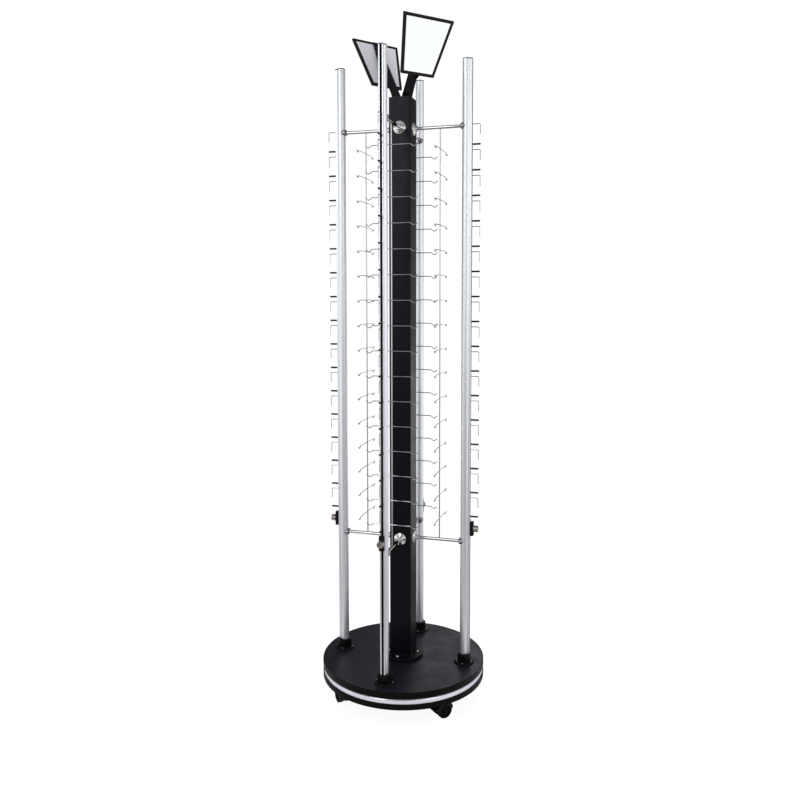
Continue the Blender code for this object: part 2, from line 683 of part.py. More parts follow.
def mirror_frame_of():
    """The mirror's own axes in its stem's plane: x outward from its face, y sideways, z up its face."""
    outward = Vector((math.cos(MIRROR_LEAN), 0, -math.sin(MIRROR_LEAN)))
    upward = Vector((math.sin(MIRROR_LEAN), 0, math.cos(MIRROR_LEAN)))
    sideways = Vector((0, 1, 0))
    turn = Matrix((outward, sideways, upward)).transposed().to_4x4()
    return Matrix.Translation((MIRROR_FOOT[0], 0, MIRROR_FOOT[1])) @ turn


def trapezoid(inset):
    """The mirror's outline, narrower at the foot, drawn in by inset all round."""
    slope = (MIRROR_TOP_WIDTH - MIRROR_BOTTOM_WIDTH) / 2 / MIRROR_LENGTH
    side = inset * math.hypot(1, slope)
    foot = MIRROR_BOTTOM_WIDTH / 2 + slope * inset - side
    head = MIRROR_TOP_WIDTH / 2 - slope * inset - side
    return [(-foot, inset), (foot, inset), (head, MIRROR_LENGTH - inset), (-head, MIRROR_LENGTH - inset)]


def panel(inset, back, front, name):
    """A trapezoid plate in the mirror's axes, from back to front along its normal."""
    facing = Matrix(((0, 0, 1, 0), (1, 0, 0, 0), (0, 1, 0, 0), (0, 0, 0, 1)))
    return prism(trapezoid(inset), back, front, name, mirror_frame_of() @ facing)


def loft(sections, name):
    """A solid through sections of four corners each."""
    bm = bmesh.new()
    rows = [[bm.verts.new(corner) for corner in section] for section in sections]
    for lower, upper in zip(rows, rows[1:]):
        for i in range(4):
            j = (i + 1) % 4
            bm.faces.new([lower[i], lower[j], upper[j], upper[i]])
    bm.faces.new(rows[0])
    bm.faces.new(rows[-1])
    return mesh_from(bm, name)


def across(front, back, half_width):
    """Four corners of a section between two points of the stem's plane."""
    ends = [(front, -half_width), (front, half_width), (back, half_width), (back, -half_width)]
    return [(point[0], y, point[1]) for point, y in ends]


def mirror_stem():
    """The folded steel stem: a strip that narrows from the column to the mirror's head, with two side
    flanges that fill the wedge between it and the mirror's back."""
    axes = mirror_frame_of()
    behind = -(MIRROR_FRAME_DEPTH + GAP)

    def on_back(depth, up):
        point = axes @ Vector((behind - depth, 0, up))
        return Vector((point.x, point.z))

    start, knee = Vector(STEM_START), Vector(STEM_KNEE)
    head = on_back(STEM_THICKNESS / 2 + STEM_OFF_MIRROR, MIRROR_LENGTH - STEM_BELOW_HEAD)
    upright, leaning = perpendicular(knee - start), perpendicular(head - knee)
    half = STEM_THICKNESS / 2
    wide, narrow = STEM_WIDTHS[0] / 2, STEM_WIDTHS[1] / 2
    bent = (upright + leaning).normalized()
    sections = [(start, upright, wide), (knee, bent, wide), (head, leaning, narrow)]
    strip = loft([across(p + half * n, p - half * n, width) for p, n, width in sections], "stem_strip")

    flanges = []
    for side in (-1, 1):
        rows = []
        for along, up in ((FLANGE_START, FLANGE_UP[0]), (FLANGE_END, FLANGE_UP[1])):
            edge = wide + (narrow - wide) * along - FLANGE_INSET
            on_strip, on_mirror = knee.lerp(head, along), on_back(0, up)
            corners = [(on_mirror, edge), (on_mirror, edge - FLANGE_WALL)]
            corners += [(on_strip, edge - FLANGE_WALL), (on_strip, edge)]
            rows.append([(point.x, side * y, point.y) for point, y in corners])
        flanges.append(loft(rows, "stem_flange"))
    return joined(strip, *flanges)


def perpendicular(direction):
    """The unit vector to the right of a direction in the stem's plane, towards the mirror."""
    return Vector((direction[1], -direction[0])).normalized()


def build_mirrors():
    half = COLUMN_WIDTH / 2 - COLUMN_WALL - GAP
    corner = COLUMN_CORNER - COLUMN_WALL
    bracket = prism(rounded_square(half, corner, 2), BRACKET_CAP_Z[0], BRACKET_CAP_Z[1], "mirror_bracket")
    stem = mirror_stem()
    for degrees in MIRRORS.values():
        turned_stem = stem.copy()
        turned_stem.transform(Matrix.Rotation(math.radians(degrees), 4, "Z"))
        bracket = joined(bracket, turned_stem)
    place("mirror_bracket", bracket, BLACK_STEEL)

    rim = panel(0, -MIRROR_FRAME_DEPTH, 0, "mirror_frame")
    rim = cut(rim, panel(MIRROR_RIM, -CUT_PAST, CUT_PAST, "mirror_opening"))
    glass = panel(MIRROR_RIM + GAP, GLASS_BACK, GLASS_FACE, "mirror_glass")
    for name, degrees in MIRRORS.items():
        frame = empty(f"mirror_{name}_frame", degrees=degrees)
        place(f"mirror_rim_{name}", rim, BLACK_PLASTIC, frame)
        place(f"mirror_glass_{name}", glass, MIRROR_GLASS, frame)


def main():
    for obj in list(bpy.data.objects):
        bpy.data.objects.remove(obj, do_unlink=True)
    build_base()
    build_casters()
    build_turntable()
    build_column()
    build_sides()
    build_mirrors()


main()
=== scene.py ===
"""Looks for the eyeglass display rack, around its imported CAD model. Metres, +Z up.

Every side is made once in the right-hand side's frame, where +X runs outward from the column's
axis and +Y sideways, and is turned about Z for the other three sides.
"""

import math
import random

import bmesh
import bpy
from mathutils import Matrix, Vector


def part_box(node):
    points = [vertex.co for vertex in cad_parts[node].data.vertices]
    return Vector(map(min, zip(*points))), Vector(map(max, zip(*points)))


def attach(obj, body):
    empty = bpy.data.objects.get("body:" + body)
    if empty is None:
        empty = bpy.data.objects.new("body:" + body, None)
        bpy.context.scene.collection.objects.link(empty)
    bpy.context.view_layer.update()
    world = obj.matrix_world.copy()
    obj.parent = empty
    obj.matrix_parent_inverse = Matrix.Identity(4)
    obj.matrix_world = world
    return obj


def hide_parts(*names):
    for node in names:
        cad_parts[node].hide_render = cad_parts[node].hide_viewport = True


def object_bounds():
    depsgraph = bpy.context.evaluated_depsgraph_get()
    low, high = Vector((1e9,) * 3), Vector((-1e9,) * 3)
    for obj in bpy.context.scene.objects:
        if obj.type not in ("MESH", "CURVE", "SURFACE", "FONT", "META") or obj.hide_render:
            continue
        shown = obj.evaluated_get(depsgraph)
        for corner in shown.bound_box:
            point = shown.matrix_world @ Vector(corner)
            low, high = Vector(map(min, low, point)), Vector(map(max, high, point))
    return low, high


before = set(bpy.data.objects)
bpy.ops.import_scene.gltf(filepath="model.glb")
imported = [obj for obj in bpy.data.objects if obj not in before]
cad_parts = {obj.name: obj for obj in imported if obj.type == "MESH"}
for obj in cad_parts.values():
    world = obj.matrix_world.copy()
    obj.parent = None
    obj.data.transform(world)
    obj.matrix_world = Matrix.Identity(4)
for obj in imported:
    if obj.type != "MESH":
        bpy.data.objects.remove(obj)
cad_low, cad_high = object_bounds()
random.seed(16)

SIDES = {"front": -90, "right": 0, "back": 90, "left": 180}
CORNERS = {"front_right": -45, "back_right": 45, "back_left": 135, "front_left": -135}
STILL = Matrix.Identity(4)
UP = Vector((0, 0, 1))


def turned_by(degrees, axis="Z"):
    return Matrix.Rotation(math.radians(degrees), 4, axis)


def moved(x, y, z):
    return Matrix.Translation((x, y, z))


def heights(node_name):
    """The lowest and the highest z of a CAD node."""
    return [corner.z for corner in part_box(node_name)]


ALONG_X = turned_by(90, "Y")
ALONG_Y = turned_by(-90, "X")

# ---- sizes, from the frame and as in the CAD

DISC_RADIUS = cad_high.x
DISC_EDGE = 0.0014
BAND = 0.0012  # thickness of the edge band
BOTTOM_DISC = heights("bottom_disc")
TOP_DISC = heights("top_disc")
TRIM_Z = heights("trim_ring")
TRIM_RADII = (0.240, 0.2475)
LOWER_RACE_Z = heights("bearing_lower_race")
UPPER_RACE_Z = heights("bearing_upper_race")
RACE_RADII = (0.120, 0.150)

COLUMN_WIDTH = 0.067
COLUMN_WALL = 0.002
COLUMN_CORNER = 0.004
COLUMN_Z = heights("column_post")
FOOT_Z = heights("column_foot")
FOOT_RADIUS = 0.061
FOOT_SCREWS_AT = 0.0440
FOOT_SCREW_TURNS = (-98, 12, 82, 192)

TUBE_AT = 0.194
TUBE_RADIUS = 0.0127
TUBE_WALL = 0.0016
TUBE_Z = heights("slotted_tube_right")
LIP_REACH = 0.0170
LIP_HALF_WIDTH = 0.0070
SLOT_HALF_WIDTH = 0.0030
CAP_Z = heights("tube_cap_right")
CAP_PLATE = 0.003
COLLAR_Z = heights("tube_collar_right")
COLLAR_RADIUS = 0.0200
COLLAR_FLANGE_RADIUS = 0.030
COLLAR_FLANGE_HEIGHT = 0.0055

PLACES = 16
PLACE_PITCH = 0.0735
LOWEST_PEG_Z = 0.569
PEG_LEVELS = [LOWEST_PEG_Z + i * PLACE_PITCH for i in range(PLACES)]
PEG_REACH = 0.0420
SLEEVE_RADIUS = 0.0027
PEG_STRIP_X = (-0.0090, -0.0060)
PEG_STRIP_WIDTH = 0.012
PEG_STRIP_Z = heights("nose_peg_strip_right")

LOCK_TRAVEL = 0.020
HOOK_ABOVE_PEG = 0.0575
HOOK_REACH = 0.0405
HOOK_LEG = 0.031
LOCK_BAR_X = (0.0015, 0.0045)
LOCK_BAR_WIDTH = 0.014
LOCK_BAR_Z = (0.504, 1.745)
WINDOW_HALF_WIDTH = 0.0032
WIRE_RADIUS = 0.00135

LOCK_Z = 0.532
BLOCK_X = (LIP_REACH + 0.0003, 0.0275)
BLOCK_WIDTH = 0.016
BLOCK_HEIGHT = 0.044
BARREL_RADIUS = 0.010
BARREL_TIP = 0.0413
PLUG_RADIUS = 0.0057
PLUG_DEPTH = 0.0030
CAM_X = (0.0050, 0.0080)

ARM_Z = {"upper": 1.725, "lower": 0.491}
ARM_RADIUS = 0.005
ARM_FLANGE_RADIUS = 0.019
ARM_BOSS_RADIUS = 0.0085
SADDLE_PROFILE = ((0.0176, 0.0072), (0.0150, 0.0098), (0.0062, 0.0101), (0.0016, 0.0088))
SADDLE_WIDEN = 1.41  # sideways, so that it wraps the tube
REST_ROD_AT = 0.1155
REST_ROD_RADIUS = 0.0019
REST_WIRE_OFFSET = 0.0024
REST_BELOW_PEG = 0.0105
REST_HALF_LENGTH = 0.079
REST_NOTCH_AT = 0.068
REST_NOTCH_INNER = 0.057
REST_NOTCH_DEPTH = 0.008

CASTER_STEM_AT = 0.201
CASTER_HEADINGS = {"front_right": 48, "back_right": 30, "back_left": 155, "front_left": 130}
CASTER_TRAIL = 0.020
WHEEL_CENTRE_Z = 0.0235
WHEEL_RADIUS = WHEEL_CENTRE_Z
WHEEL_Y = (0.0046, 0.0191)
HOOD_RADIUS = 0.0275
HOOD_BORE = 0.0252
HOOD_WIDTH = 0.040
HOOD_WEB = 0.008
HOOD_ARC = (12, 150)  # degrees of the hood over its wheels
HOOD_TAIL = [(-0.019, 0.034), (-0.017, 0.028), (0.004, 0.007), (0.012, 0.007)]
HOOD_FOOT = 0.036
HOOD_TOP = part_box("caster_hood_front_right")[1].z

MIRRORS = {"front": -43, "back": 142}
MIRROR_FOOT = (0.0845, 1.862)
MIRROR_LEAN = math.radians(24)
MIRROR_LENGTH = 0.160
MIRROR_TOP_WIDTH = 0.166
MIRROR_BOTTOM_WIDTH = 0.109
MIRROR_DEPTH = 0.0070
MIRROR_RIM = 0.0085
GLASS = (-0.0034, -0.0010)  # back and face of the glass, along the mirror's normal
STEM_WIDTHS = (0.034, 0.022)
STEM_THICKNESS = 0.003
STEM_START = (0.0250, 1.8065)
STEM_KNEE = (0.0250, 1.8160)
FLANGE_WALL = 0.002
FLANGE_SPAN = (0.22, 0.97)
FLANGE_UP = (0.006, 0.148)
BRACKET_CAP_Z = (1.806, 1.810)
FACING = Matrix(((0, 0, 1, 0), (1, 0, 0, 0), (0, 1, 0, 0), (0, 0, 0, 1)))  # a prism's ends to back and face

# ---- light and camera

CAMERA_TURN = 0.2856
CAMERA_TILT = 0.0846
CAMERA_ROLL = 0.0013
CAMERA_DISTANCE = 2.44
CAMERA_HEIGHT = 1.235
CAMERA_LENS = 36.18
CAMERA_SHIFT = (-0.0036, -0.0459)
TOWARDS_CAMERA = (math.sin(CAMERA_TURN), -math.cos(CAMERA_TURN), 0)

# (place, level) stops: of the sky by its direction, and of the floor by its distance in metres
SKY_BY_HEIGHT = ((-0.4, 0.06), (-0.1, 0.45), (-0.01, 1), (0.06, 1), (0.18, 0.38), (0.6, 0.25), (1, 0.34))
SKY_BY_FRONT = ((-1, 0.12), (-0.8, 0.16), (-0.35, 0.55), (0.15, 1), (0.55, 0.95), (0.85, 0.8), (1, 0.76))
SKY_STRENGTH = 1.85
SKY_SEEN = 1.05  # by the camera, evenly
FLOOR_NEAR_GLOW = ((0.24, 0.08), (0.42, 0.70), (0.60, 0.56), (0.95, 0.08), (4.0, 0.0))
FLOOR_FAR_GLOW = ((1.0, 0.05), (3.0, 0.95))  # added to it, and least straight towards the camera
FLOOR_REACH = 4.0
FLOOR_SEEN = 0.93  # added to the floor's own light for the camera
FLOOR_RADIUS = 14
SOFTBOXES = {  # place, what it is aimed at, its sides, watts
    "key_softbox": ((-0.8, -2.4, 2.2), (0, 0, 1.30), (0.8, 0.8), 9),
    "fill_softbox": ((2.4, -1.7, 2.1), (0, 0, 1.45), (1.3, 1.6), 9),
    "rear_softbox": ((-0.2, 2.3, 1.5), (0, 0, 0.3), (0.8, 0.8), 4),
}


# ---- mesh making


def skin(rows, loop=False):
    """Points and faces over rows of points; a row of one point closes to it."""
    points = [point for row in rows for point in row]
    index = []
    for row in rows:
        start = sum(len(each) for each in index)
        index.append(list(range(start, start + len(row))))
    pairs = list(zip(index, index[1:])) + ([(index[-1], index[0])] if loop else [])
    faces = []
    for lower, upper in pairs:
        count = max(len(lower), len(upper))
        for i in range(count):
            j = (i + 1) % count
            corners = [lower[i % len(lower)], lower[j % len(lower)]]
            corners += [upper[j % len(upper)], upper[i % len(upper)]]
            faces.append(list(dict.fromkeys(corners)))
    if not loop:
        faces += [row for row in (index[0], index[-1]) if len(row) > 1]
    return points, faces


def filleted(points, radius, steps=4, closed=True):
    """The corners of an outline or a path rounded off, one radius for all or one each."""
    points = [Vector(point) for point in points]
    made = []
    for i, corner in enumerate(points):
        reach = radius[i] if isinstance(radius, (list, tuple)) else radius
        if reach == 0 or (not closed and i in (0, len(points) - 1)):
            made.append(corner)
            continue
        before, after = points[i - 1], points[(i + 1) % len(points)]
        lengths = [(before - corner).length, (after - corner).length]
        reach = min(reach, lengths[0] / 2.05, lengths[1] / 2.05)
        start = corner.lerp(before, reach / lengths[0])
        end = corner.lerp(after, reach / lengths[1])
        for k in range(steps + 1):
            share = k / steps
            made.append(start.lerp(corner, share).lerp(corner.lerp(end, share), share))
    return made


def bar(radius, low, high):
    """The profile of a plain round bar with flat ends."""
    return [(0, low), (radius, low), (radius, high), (0, high)]


def half_turn(steps):
    return [math.pi * k / steps for k in range(steps + 1)]


def full_turn(steps):
    return [2 * math.pi * k / steps for k in range(steps)]


def inset(outline, distance):
    """An anticlockwise outline drawn inwards."""
    count = len(outline)
    points = [Vector(point) for point in outline]
    made = []
    for i, point in enumerate(points):
        before = (point - points[i - 1]).normalized()
        after = (points[(i + 1) % count] - point).normalized()
        inward = Vector((-before.y, before.x)) + Vector((-after.y, after.x))
        made.append(point + inward * distance / max(1 + before.dot(after), 0.5))
    return made


def rounding(edge, steps=3):
    """(drawn in, along) pairs of a rounded edge, from the end face to the side."""
    return [(edge * (1 - math.sin(t)), edge * (1 - math.cos(t))) for t in half_turn(2 * steps)[:steps + 1]]


def levels(low, high, edge, steps=3):
    """(drawn in, height) pairs up a side with rounded ends."""
    ends = rounding(edge, steps) if edge else [(0, 0)]
    up = [(drawn, low + along) for drawn, along in ends]
    return up + [(drawn, high - along) for drawn, along in ends[::-1]]


def drawn_row(outline, drawn, height):
    return [(point.x, point.y, height) for point in inset(outline, drawn)]


def arc(radius, start, end, steps, centre=(0, 0)):
    turns = [math.radians(start + (end - start) * i / steps) for i in range(steps + 1)]
    return [(centre[0] + radius * math.cos(t), centre[1] + radius * math.sin(t)) for t in turns]


def bead(corners, edge, steps=3):
    """An open profile of (radius, height) points with its inner corners rounded."""
    return [tuple(point) for point in filleted(corners, edge, steps, closed=False)]


class Shape:
    """A mesh in the making. Each method adds one closed form, moved by `at`."""

    def __init__(self):
        self.points = []
        self.faces = []

    def add(self, points, faces, at=STILL):
        start = len(self.points)
        self.points += [at @ Vector(point) for point in points]
        self.faces += [[start + i for i in face] for face in faces]
        return self

    def lathe(self, profile, segments, at=STILL, loop=False):
        """A profile of (radius, height) points turned about Z; a radius may be a function of angle."""
        rows = []
        for radius, height in profile:
            if radius == 0:
                rows.append([(0, 0, height)])
                continue
            row = []
            for turn in full_turn(segments):
                reach = radius(turn) if callable(radius) else radius
                row.append((reach * math.cos(turn), reach * math.sin(turn), height))
            rows.append(row)
        return self.add(*skin(rows, loop), at)

    def prism(self, outline, low, high, edge=0.0, at=STILL, steps=3):
        """An anticlockwise outline drawn along Z, with rounded ends."""
        rows = [drawn_row(outline, drawn, height) for drawn, height in levels(low, high, edge, steps)]
        return self.add(*skin(rows), at)

    def frame(self, outer, inner, low, high, edge, at=STILL):
        """What lies between two outlines of as many points, drawn along Z, with rounded edges."""
        outside = [drawn_row(outer, drawn, height) for drawn, height in levels(low, high, edge)]
        inside = [drawn_row(inner, -drawn, height) for drawn, height in levels(low, high, edge)]
        return self.add(*skin(outside + inside[::-1], loop=True), at)

    def block(self, low, high, edge, at=STILL, steps=3):
        """A box with every edge rounded."""
        corners = [(low[0], low[1]), (high[0], low[1]), (high[0], high[1]), (low[0], high[1])]
        return self.prism(filleted(corners, edge, steps), low[2], high[2], edge, at, steps)

    def wire(self, path, radius, sides, at=STILL, blunt=0.0):
        """A round wire along a path, with rounded ends, or flat ones with a small edge."""
        path = [Vector(point) for point in path]
        first = (path[1] - path[0]).normalized()
        last = (path[-1] - path[-2]).normalized()
        edge = blunt or radius
        rounded = [(radius - drawn, along) for drawn, along in rounding(edge) if radius - drawn > 1e-7]
        head = [(path[0] + first * along, size) for size, along in rounded]
        tail = [(path[-1] - last * along, size) for size, along in rounded]
        stations = head + [(point, radius) for point in path[1:-1]] + tail[::-1]
        centres = [point for point, _ in stations]
        befores, afters = centres[:1] + centres[:-1], centres[1:] + centres[-1:]
        tangents = [(after - before).normalized() for before, after in zip(befores, afters)]
        across = first.orthogonal().normalized()
        rows = [[path[0]]] if edge == radius else []
        for i, (centre, size) in enumerate(stations):
            if i:
                across = tangents[i - 1].rotation_difference(tangents[i]) @ across
            other = tangents[i].cross(across)
            turns = full_turn(sides)
            rows.append([centre + size * (math.cos(t) * across + math.sin(t) * other) for t in turns])
        if edge == radius:
            rows.append([path[-1]])
        return self.add(*skin(rows), at)

    def screw(self, at, radius, height):
        """A domed screw head standing on z = 0 of `at`, with its cross recess."""
        deep = height * 0.6
        slot = radius * 0.16
        reach = radius * 0.55

        def recess(turn):
            sector = abs((turn + math.pi / 4) % (math.pi / 2) - math.pi / 4)
            return min(reach / max(math.cos(sector), 0.1), slot / max(math.sin(sector), 0.16))

        profile = [(radius, 0), (radius, height * 0.25), (radius * 0.93, height * 0.6)]
        profile += [(radius * 0.75, height * 0.88), (radius * 0.6, height), (recess, height)]
        profile += [(lambda turn: recess(turn) * 0.85, height - deep), (0, height - deep)]
        return self.lathe([(0, 0)] + profile, 40, at)

    def ball(self, radius, centre, rings=6, sides=12, at=STILL):
        profile = [(radius * math.sin(t), -radius * math.cos(t)) for t in half_turn(rings)[1:-1]]
        return self.lathe([(0, -radius)] + profile + [(0, radius)], sides, at @ moved(*centre))

    def mesh(self, name, sharp=38):
        bm = bmesh.new()
        made = [bm.verts.new(point) for point in self.points]
        for face in self.faces:
            bm.faces.new([made[i] for i in face])
        bmesh.ops.recalc_face_normals(bm, faces=bm.faces)
        if bm.calc_volume(signed=True) < 0:
            bmesh.ops.reverse_faces(bm, faces=bm.faces)
        mesh = bpy.data.meshes.new(name)
        bm.to_mesh(mesh)
        bm.free()
        return shaded(mesh, sharp)


def placed(kind, data):
    obj = bpy.data.objects.new(kind, data)
    bpy.context.scene.collection.objects.link(obj)
    return obj


def modified(kind, meshes, **settings):
    """The first mesh after a modifier, which may take the second one as its object."""
    objects = [placed("operand", mesh) for mesh in meshes]
    modifier = objects[0].modifiers.new("change", kind)
    for name, value in settings.items():
        setattr(modifier, name, value)
    if len(objects) > 1:
        modifier.object = objects[1]
    made = bpy.data.meshes.new_from_object(objects[0].evaluated_get(bpy.context.evaluated_depsgraph_get()))
    for obj in objects:
        bpy.data.objects.remove(obj)
    for mesh in meshes:
        bpy.data.meshes.remove(mesh)
    return made


def shaded(mesh, sharp=38):
    """Smooth up to an angle, with normals weighted by area: flat faces stay flat beside rounded edges."""
    mesh.shade_smooth()
    mesh.set_sharp_from_angle(angle=math.radians(sharp))
    return modified("WEIGHTED_NORMAL", [mesh], keep_sharp=True, weight=100)


def boolean(mesh, other, operation="DIFFERENCE"):
    """The exact Boolean of two closed meshes, which are used up."""
    return shaded(modified("BOOLEAN", [mesh, other], operation=operation, solver="EXACT"))


def meshed(form, name):
    """The mesh of a shape, or a mesh as it is."""
    return form.mesh(name) if isinstance(form, Shape) else form


def piece(name, form, look, body, replaced=None, at=STILL):
    """A visible piece that rides on a body and may take the place of a CAD node."""
    obj = placed(name, meshed(form, name))
    obj.matrix_world = at
    if not obj.data.materials:
        obj.data.materials.append(look)
    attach(obj, body)
    if replaced:
        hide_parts(replaced)


def repeated(parts, places):
    """Pieces that are made once and set at each named place; every {} takes the place's name."""
    parts = [(name, meshed(form, name), *rest) for name, form, *rest in parts]
    for place, at_place in places.items():
        for name, mesh, look, body, slot, replaced, at in parts:
            node_name = replaced and replaced.format(place)
            piece(f"{name}_{place}", mesh, look, body.format(place), node_name, at_place @ at)


def turned_places(turns):
    return {place: turned_by(degrees) for place, degrees in turns.items()}


# ---- looks


def node(tree, kind, *feeds, operation=None, **sockets):
    """A shader node. Numbers are set on its inputs, and other nodes' outputs are linked to them."""
    made = tree.nodes.new("ShaderNode" + kind)
    if operation:
        made.operation = operation
    named = [(made.inputs[name.replace("_", " ")], value) for name, value in sockets.items()]
    for inlet, value in list(zip(made.inputs, feeds)) + named:
        if isinstance(value, bpy.types.NodeSocket):
            tree.links.new(value, inlet)
        else:
            inlet.default_value = value
    return made


class Look:
    """A Principled material whose colour, roughness and relief come from procedural nodes."""

    def __init__(self, name, metallic=0.0, **sockets):
        self.material = bpy.data.materials.new(name)
        self.material.use_nodes = True
        self.tree = self.material.node_tree
        self.shader = self.tree.nodes["Principled BSDF"]
        self.shader.inputs["Metallic"].default_value = metallic
        for socket, value in sockets.items():
            self.shader.inputs[socket.replace("_", " ")].default_value = value
        self.coordinates = node(self.tree, "TexCoord").outputs["Object"]
        self.height = None

    def feed(self, socket, output):
        self.tree.links.new(output, self.shader.inputs[socket])

    def stretched(self, stretch):
        return node(self.tree, "Mapping", Vector=self.coordinates, Scale=stretch).outputs["Vector"]

    def noise(self, scale, detail=3.0, stretch=(1, 1, 1), rough=0.55):
        at = self.stretched(stretch)
        made = node(self.tree, "TexNoise", Vector=at, Scale=scale, Detail=detail, Roughness=rough)
        return made.outputs["Fac"]

    def cells(self, scale):
        at = self.stretched((1, 1, 1))
        return node(self.tree, "TexVoronoi", Vector=at, Scale=scale).outputs["Distance"]

    def ranged(self, factor, low, high, start=0.3, end=0.7):
        reach = {"From_Min": start, "From_Max": end, "To_Min": low, "To_Max": high}
        return node(self.tree, "MapRange", Value=factor, **reach).outputs["Result"]

    def mixed(self, factor, first, second):
        """Two colours, each a tuple or another node's output, mixed by a factor."""
        made = node(self.tree, "Mix", Factor=factor)
        made.data_type = "RGBA"
        for inlet, colour in zip([each for each in made.inputs if each.type == "RGBA"], (first, second)):
            if isinstance(colour, tuple):
                inlet.default_value = (*colour, 1.0)
            else:
                self.tree.links.new(colour, inlet)
        return next(s for s in made.outputs if s.type == "RGBA")

    def relief(self, height, strength, depth):
        """Adds a bump over those already there; depth is the height of a full step."""
        bump = node(self.tree, "Bump", Strength=strength, Distance=depth, Height=height)
        if self.height is not None:
            self.tree.links.new(self.height, bump.inputs["Normal"])
        self.height = bump.outputs["Normal"]
        self.feed("Normal", self.height)


def scaled(colour, factor):
    return tuple(min(part * factor, 1.0) for part in colour)


def mottled(name, colour, rough, spread, blotch, shade=0.12, **sockets):
    """The start of most looks: a colour and a gloss that vary over soft patches."""
    look = Look(name, **sockets)
    patches = look.noise(blotch, 4)
    look.feed("Base Color", look.mixed(patches, scaled(colour, 1 - shade), scaled(colour, 1 + shade)))
    look.feed("Roughness", look.ranged(look.noise(blotch * 2.7, 5), rough - spread, rough + spread))
    return look


def board_look():
    """Black laminate: a fine pebble with soft wear, faint scuffs and a purple-grey tint."""
    base, worn = (0.0074, 0.0052, 0.0118), (0.0122, 0.0092, 0.0182)
    look = Look("black_board", Specular_IOR_Level=0.42, Specular_Tint=(0.90, 0.85, 1.0, 1.0))
    patches = look.mixed(look.noise(9, 5), base, worn)
    scuffs = look.ranged(look.noise(60, 6, (1, 5, 1), 0.7), 0.0, 0.5, 0.58, 0.8)
    look.feed("Base Color", look.mixed(scuffs, patches, (0.024, 0.021, 0.030)))
    look.feed("Roughness", look.ranged(look.noise(22, 6), 0.38, 0.52))
    look.relief(look.cells(1100), 0.22, 0.00012)
    look.relief(look.noise(260, 4), 0.10, 0.0002)
    return look.material


def band_look():
    """The glued edge band: smoother and blacker than the laminate, with fine lines along it."""
    look = mottled("edge_band", (0.0034, 0.0014, 0.0014), 0.40, 0.08, 14, 0.25, Specular_IOR_Level=0.08)
    look.relief(look.noise(900, 3, (0.03, 0.03, 1)), 0.15, 0.0001)
    return look.material


def powder_look():
    """Black powder coat with its orange peel and a faint brown-grey variation."""
    look = mottled("black_powder_coat", (0.0038, 0.0028, 0.0048), 0.34, 0.05, 5, 0.18,
                   Specular_IOR_Level=0.14, Specular_Tint=(0.90, 0.88, 1.0, 1.0))
    look.relief(look.noise(520, 2), 0.16, 0.00015)
    look.relief(look.cells(1500), 0.06, 0.00005)
    return look.material


def plastic_look():
    """Moulded black plastic with a spark-eroded grain."""
    look = mottled("black_plastic", (0.0024, 0.0016, 0.0018), 0.36, 0.07, 30, 0.2, Specular_IOR_Level=0.20)
    look.relief(look.noise(2200, 3), 0.12, 0.00006)
    return look.material


def rubber_look(name, colour):
    look = mottled(name, colour, 0.5, 0.08, 60, 0.25, Specular_IOR_Level=0.3)
    look.relief(look.noise(3000, 3), 0.25, 0.00006)
    return look.material


def extruded_look(name, colour, rough, lines, relief, metallic=1.0):
    """Satin anodised aluminium with die lines along the extrusion."""
    look = Look(name, metallic)
    strokes = look.noise(1.0, 4, lines, 0.6)
    cloud = look.mixed(look.noise(7, 4), scaled(colour, 0.95), scaled(colour, 1.05))
    look.feed("Base Color", look.mixed(look.ranged(strokes, 0.0, 0.35), cloud, scaled(colour, 0.82)))
    look.feed("Roughness", look.ranged(strokes, rough - 0.05, rough + 0.07))
    look.relief(strokes, relief, 0.00008)
    return look.material


def plated_look(name, colour, rough, relief=0.02):
    """Bright plating with faint smears and a slight waviness."""
    look = Look(name, 1.0)
    smears = look.noise(90, 6, (1, 1, 2.5), 0.65)
    look.feed("Base Color", look.mixed(look.ranged(smears, 0.0, 0.6), colour, scaled(colour, 0.88)))
    look.feed("Roughness", look.ranged(smears, rough * 0.6, rough * 1.9))
    look.relief(look.noise(240, 2), relief, 0.0001)
    return look.material


def zinc_look():
    """Bright zinc on drawn wire: bluish grey spangle and fine drawing marks."""
    look = Look("zinc_steel", 1.0)
    spangle = look.cells(260)
    tint = look.mixed(look.ranged(spangle, 0.0, 1.0, 0.1, 0.7), (0.50, 0.50, 0.52), (0.64, 0.64, 0.66))
    look.feed("Base Color", look.mixed(look.noise(34, 4), tint, (0.44, 0.44, 0.45)))
    look.feed("Roughness", look.ranged(look.noise(500, 4), 0.16, 0.30))
    look.relief(look.noise(1800, 3), 0.08, 0.00005)
    return look.material


def silver_look():
    """The mirror's silvered glass, with the faintest smears."""
    look = Look("mirror_silver", 1.0)
    smears = look.noise(26, 6, (1, 1.6, 1), 0.7)
    tint = look.mixed(look.ranged(smears, 0.0, 1.0), (0.90, 0.92, 0.93), (0.93, 0.95, 0.96))
    look.feed("Base Color", tint)
    look.feed("Roughness", look.ranged(smears, 0.004, 0.02))
    return look.material


def backing_look():
    """The pale grey paint on the mirror's back."""
    look = mottled("mirror_backing", (0.88, 0.87, 0.95), 0.5, 0.08, 18, 0.06)
    look.relief(look.noise(650, 3), 0.12, 0.0001)
    return look.material


def cap_look():
    look = mottled("cap_grey", (0.045, 0.045, 0.050), 0.38, 0.06, 60, 0.15)
    look.relief(look.noise(1900, 3), 0.1, 0.00006)
    return look.material


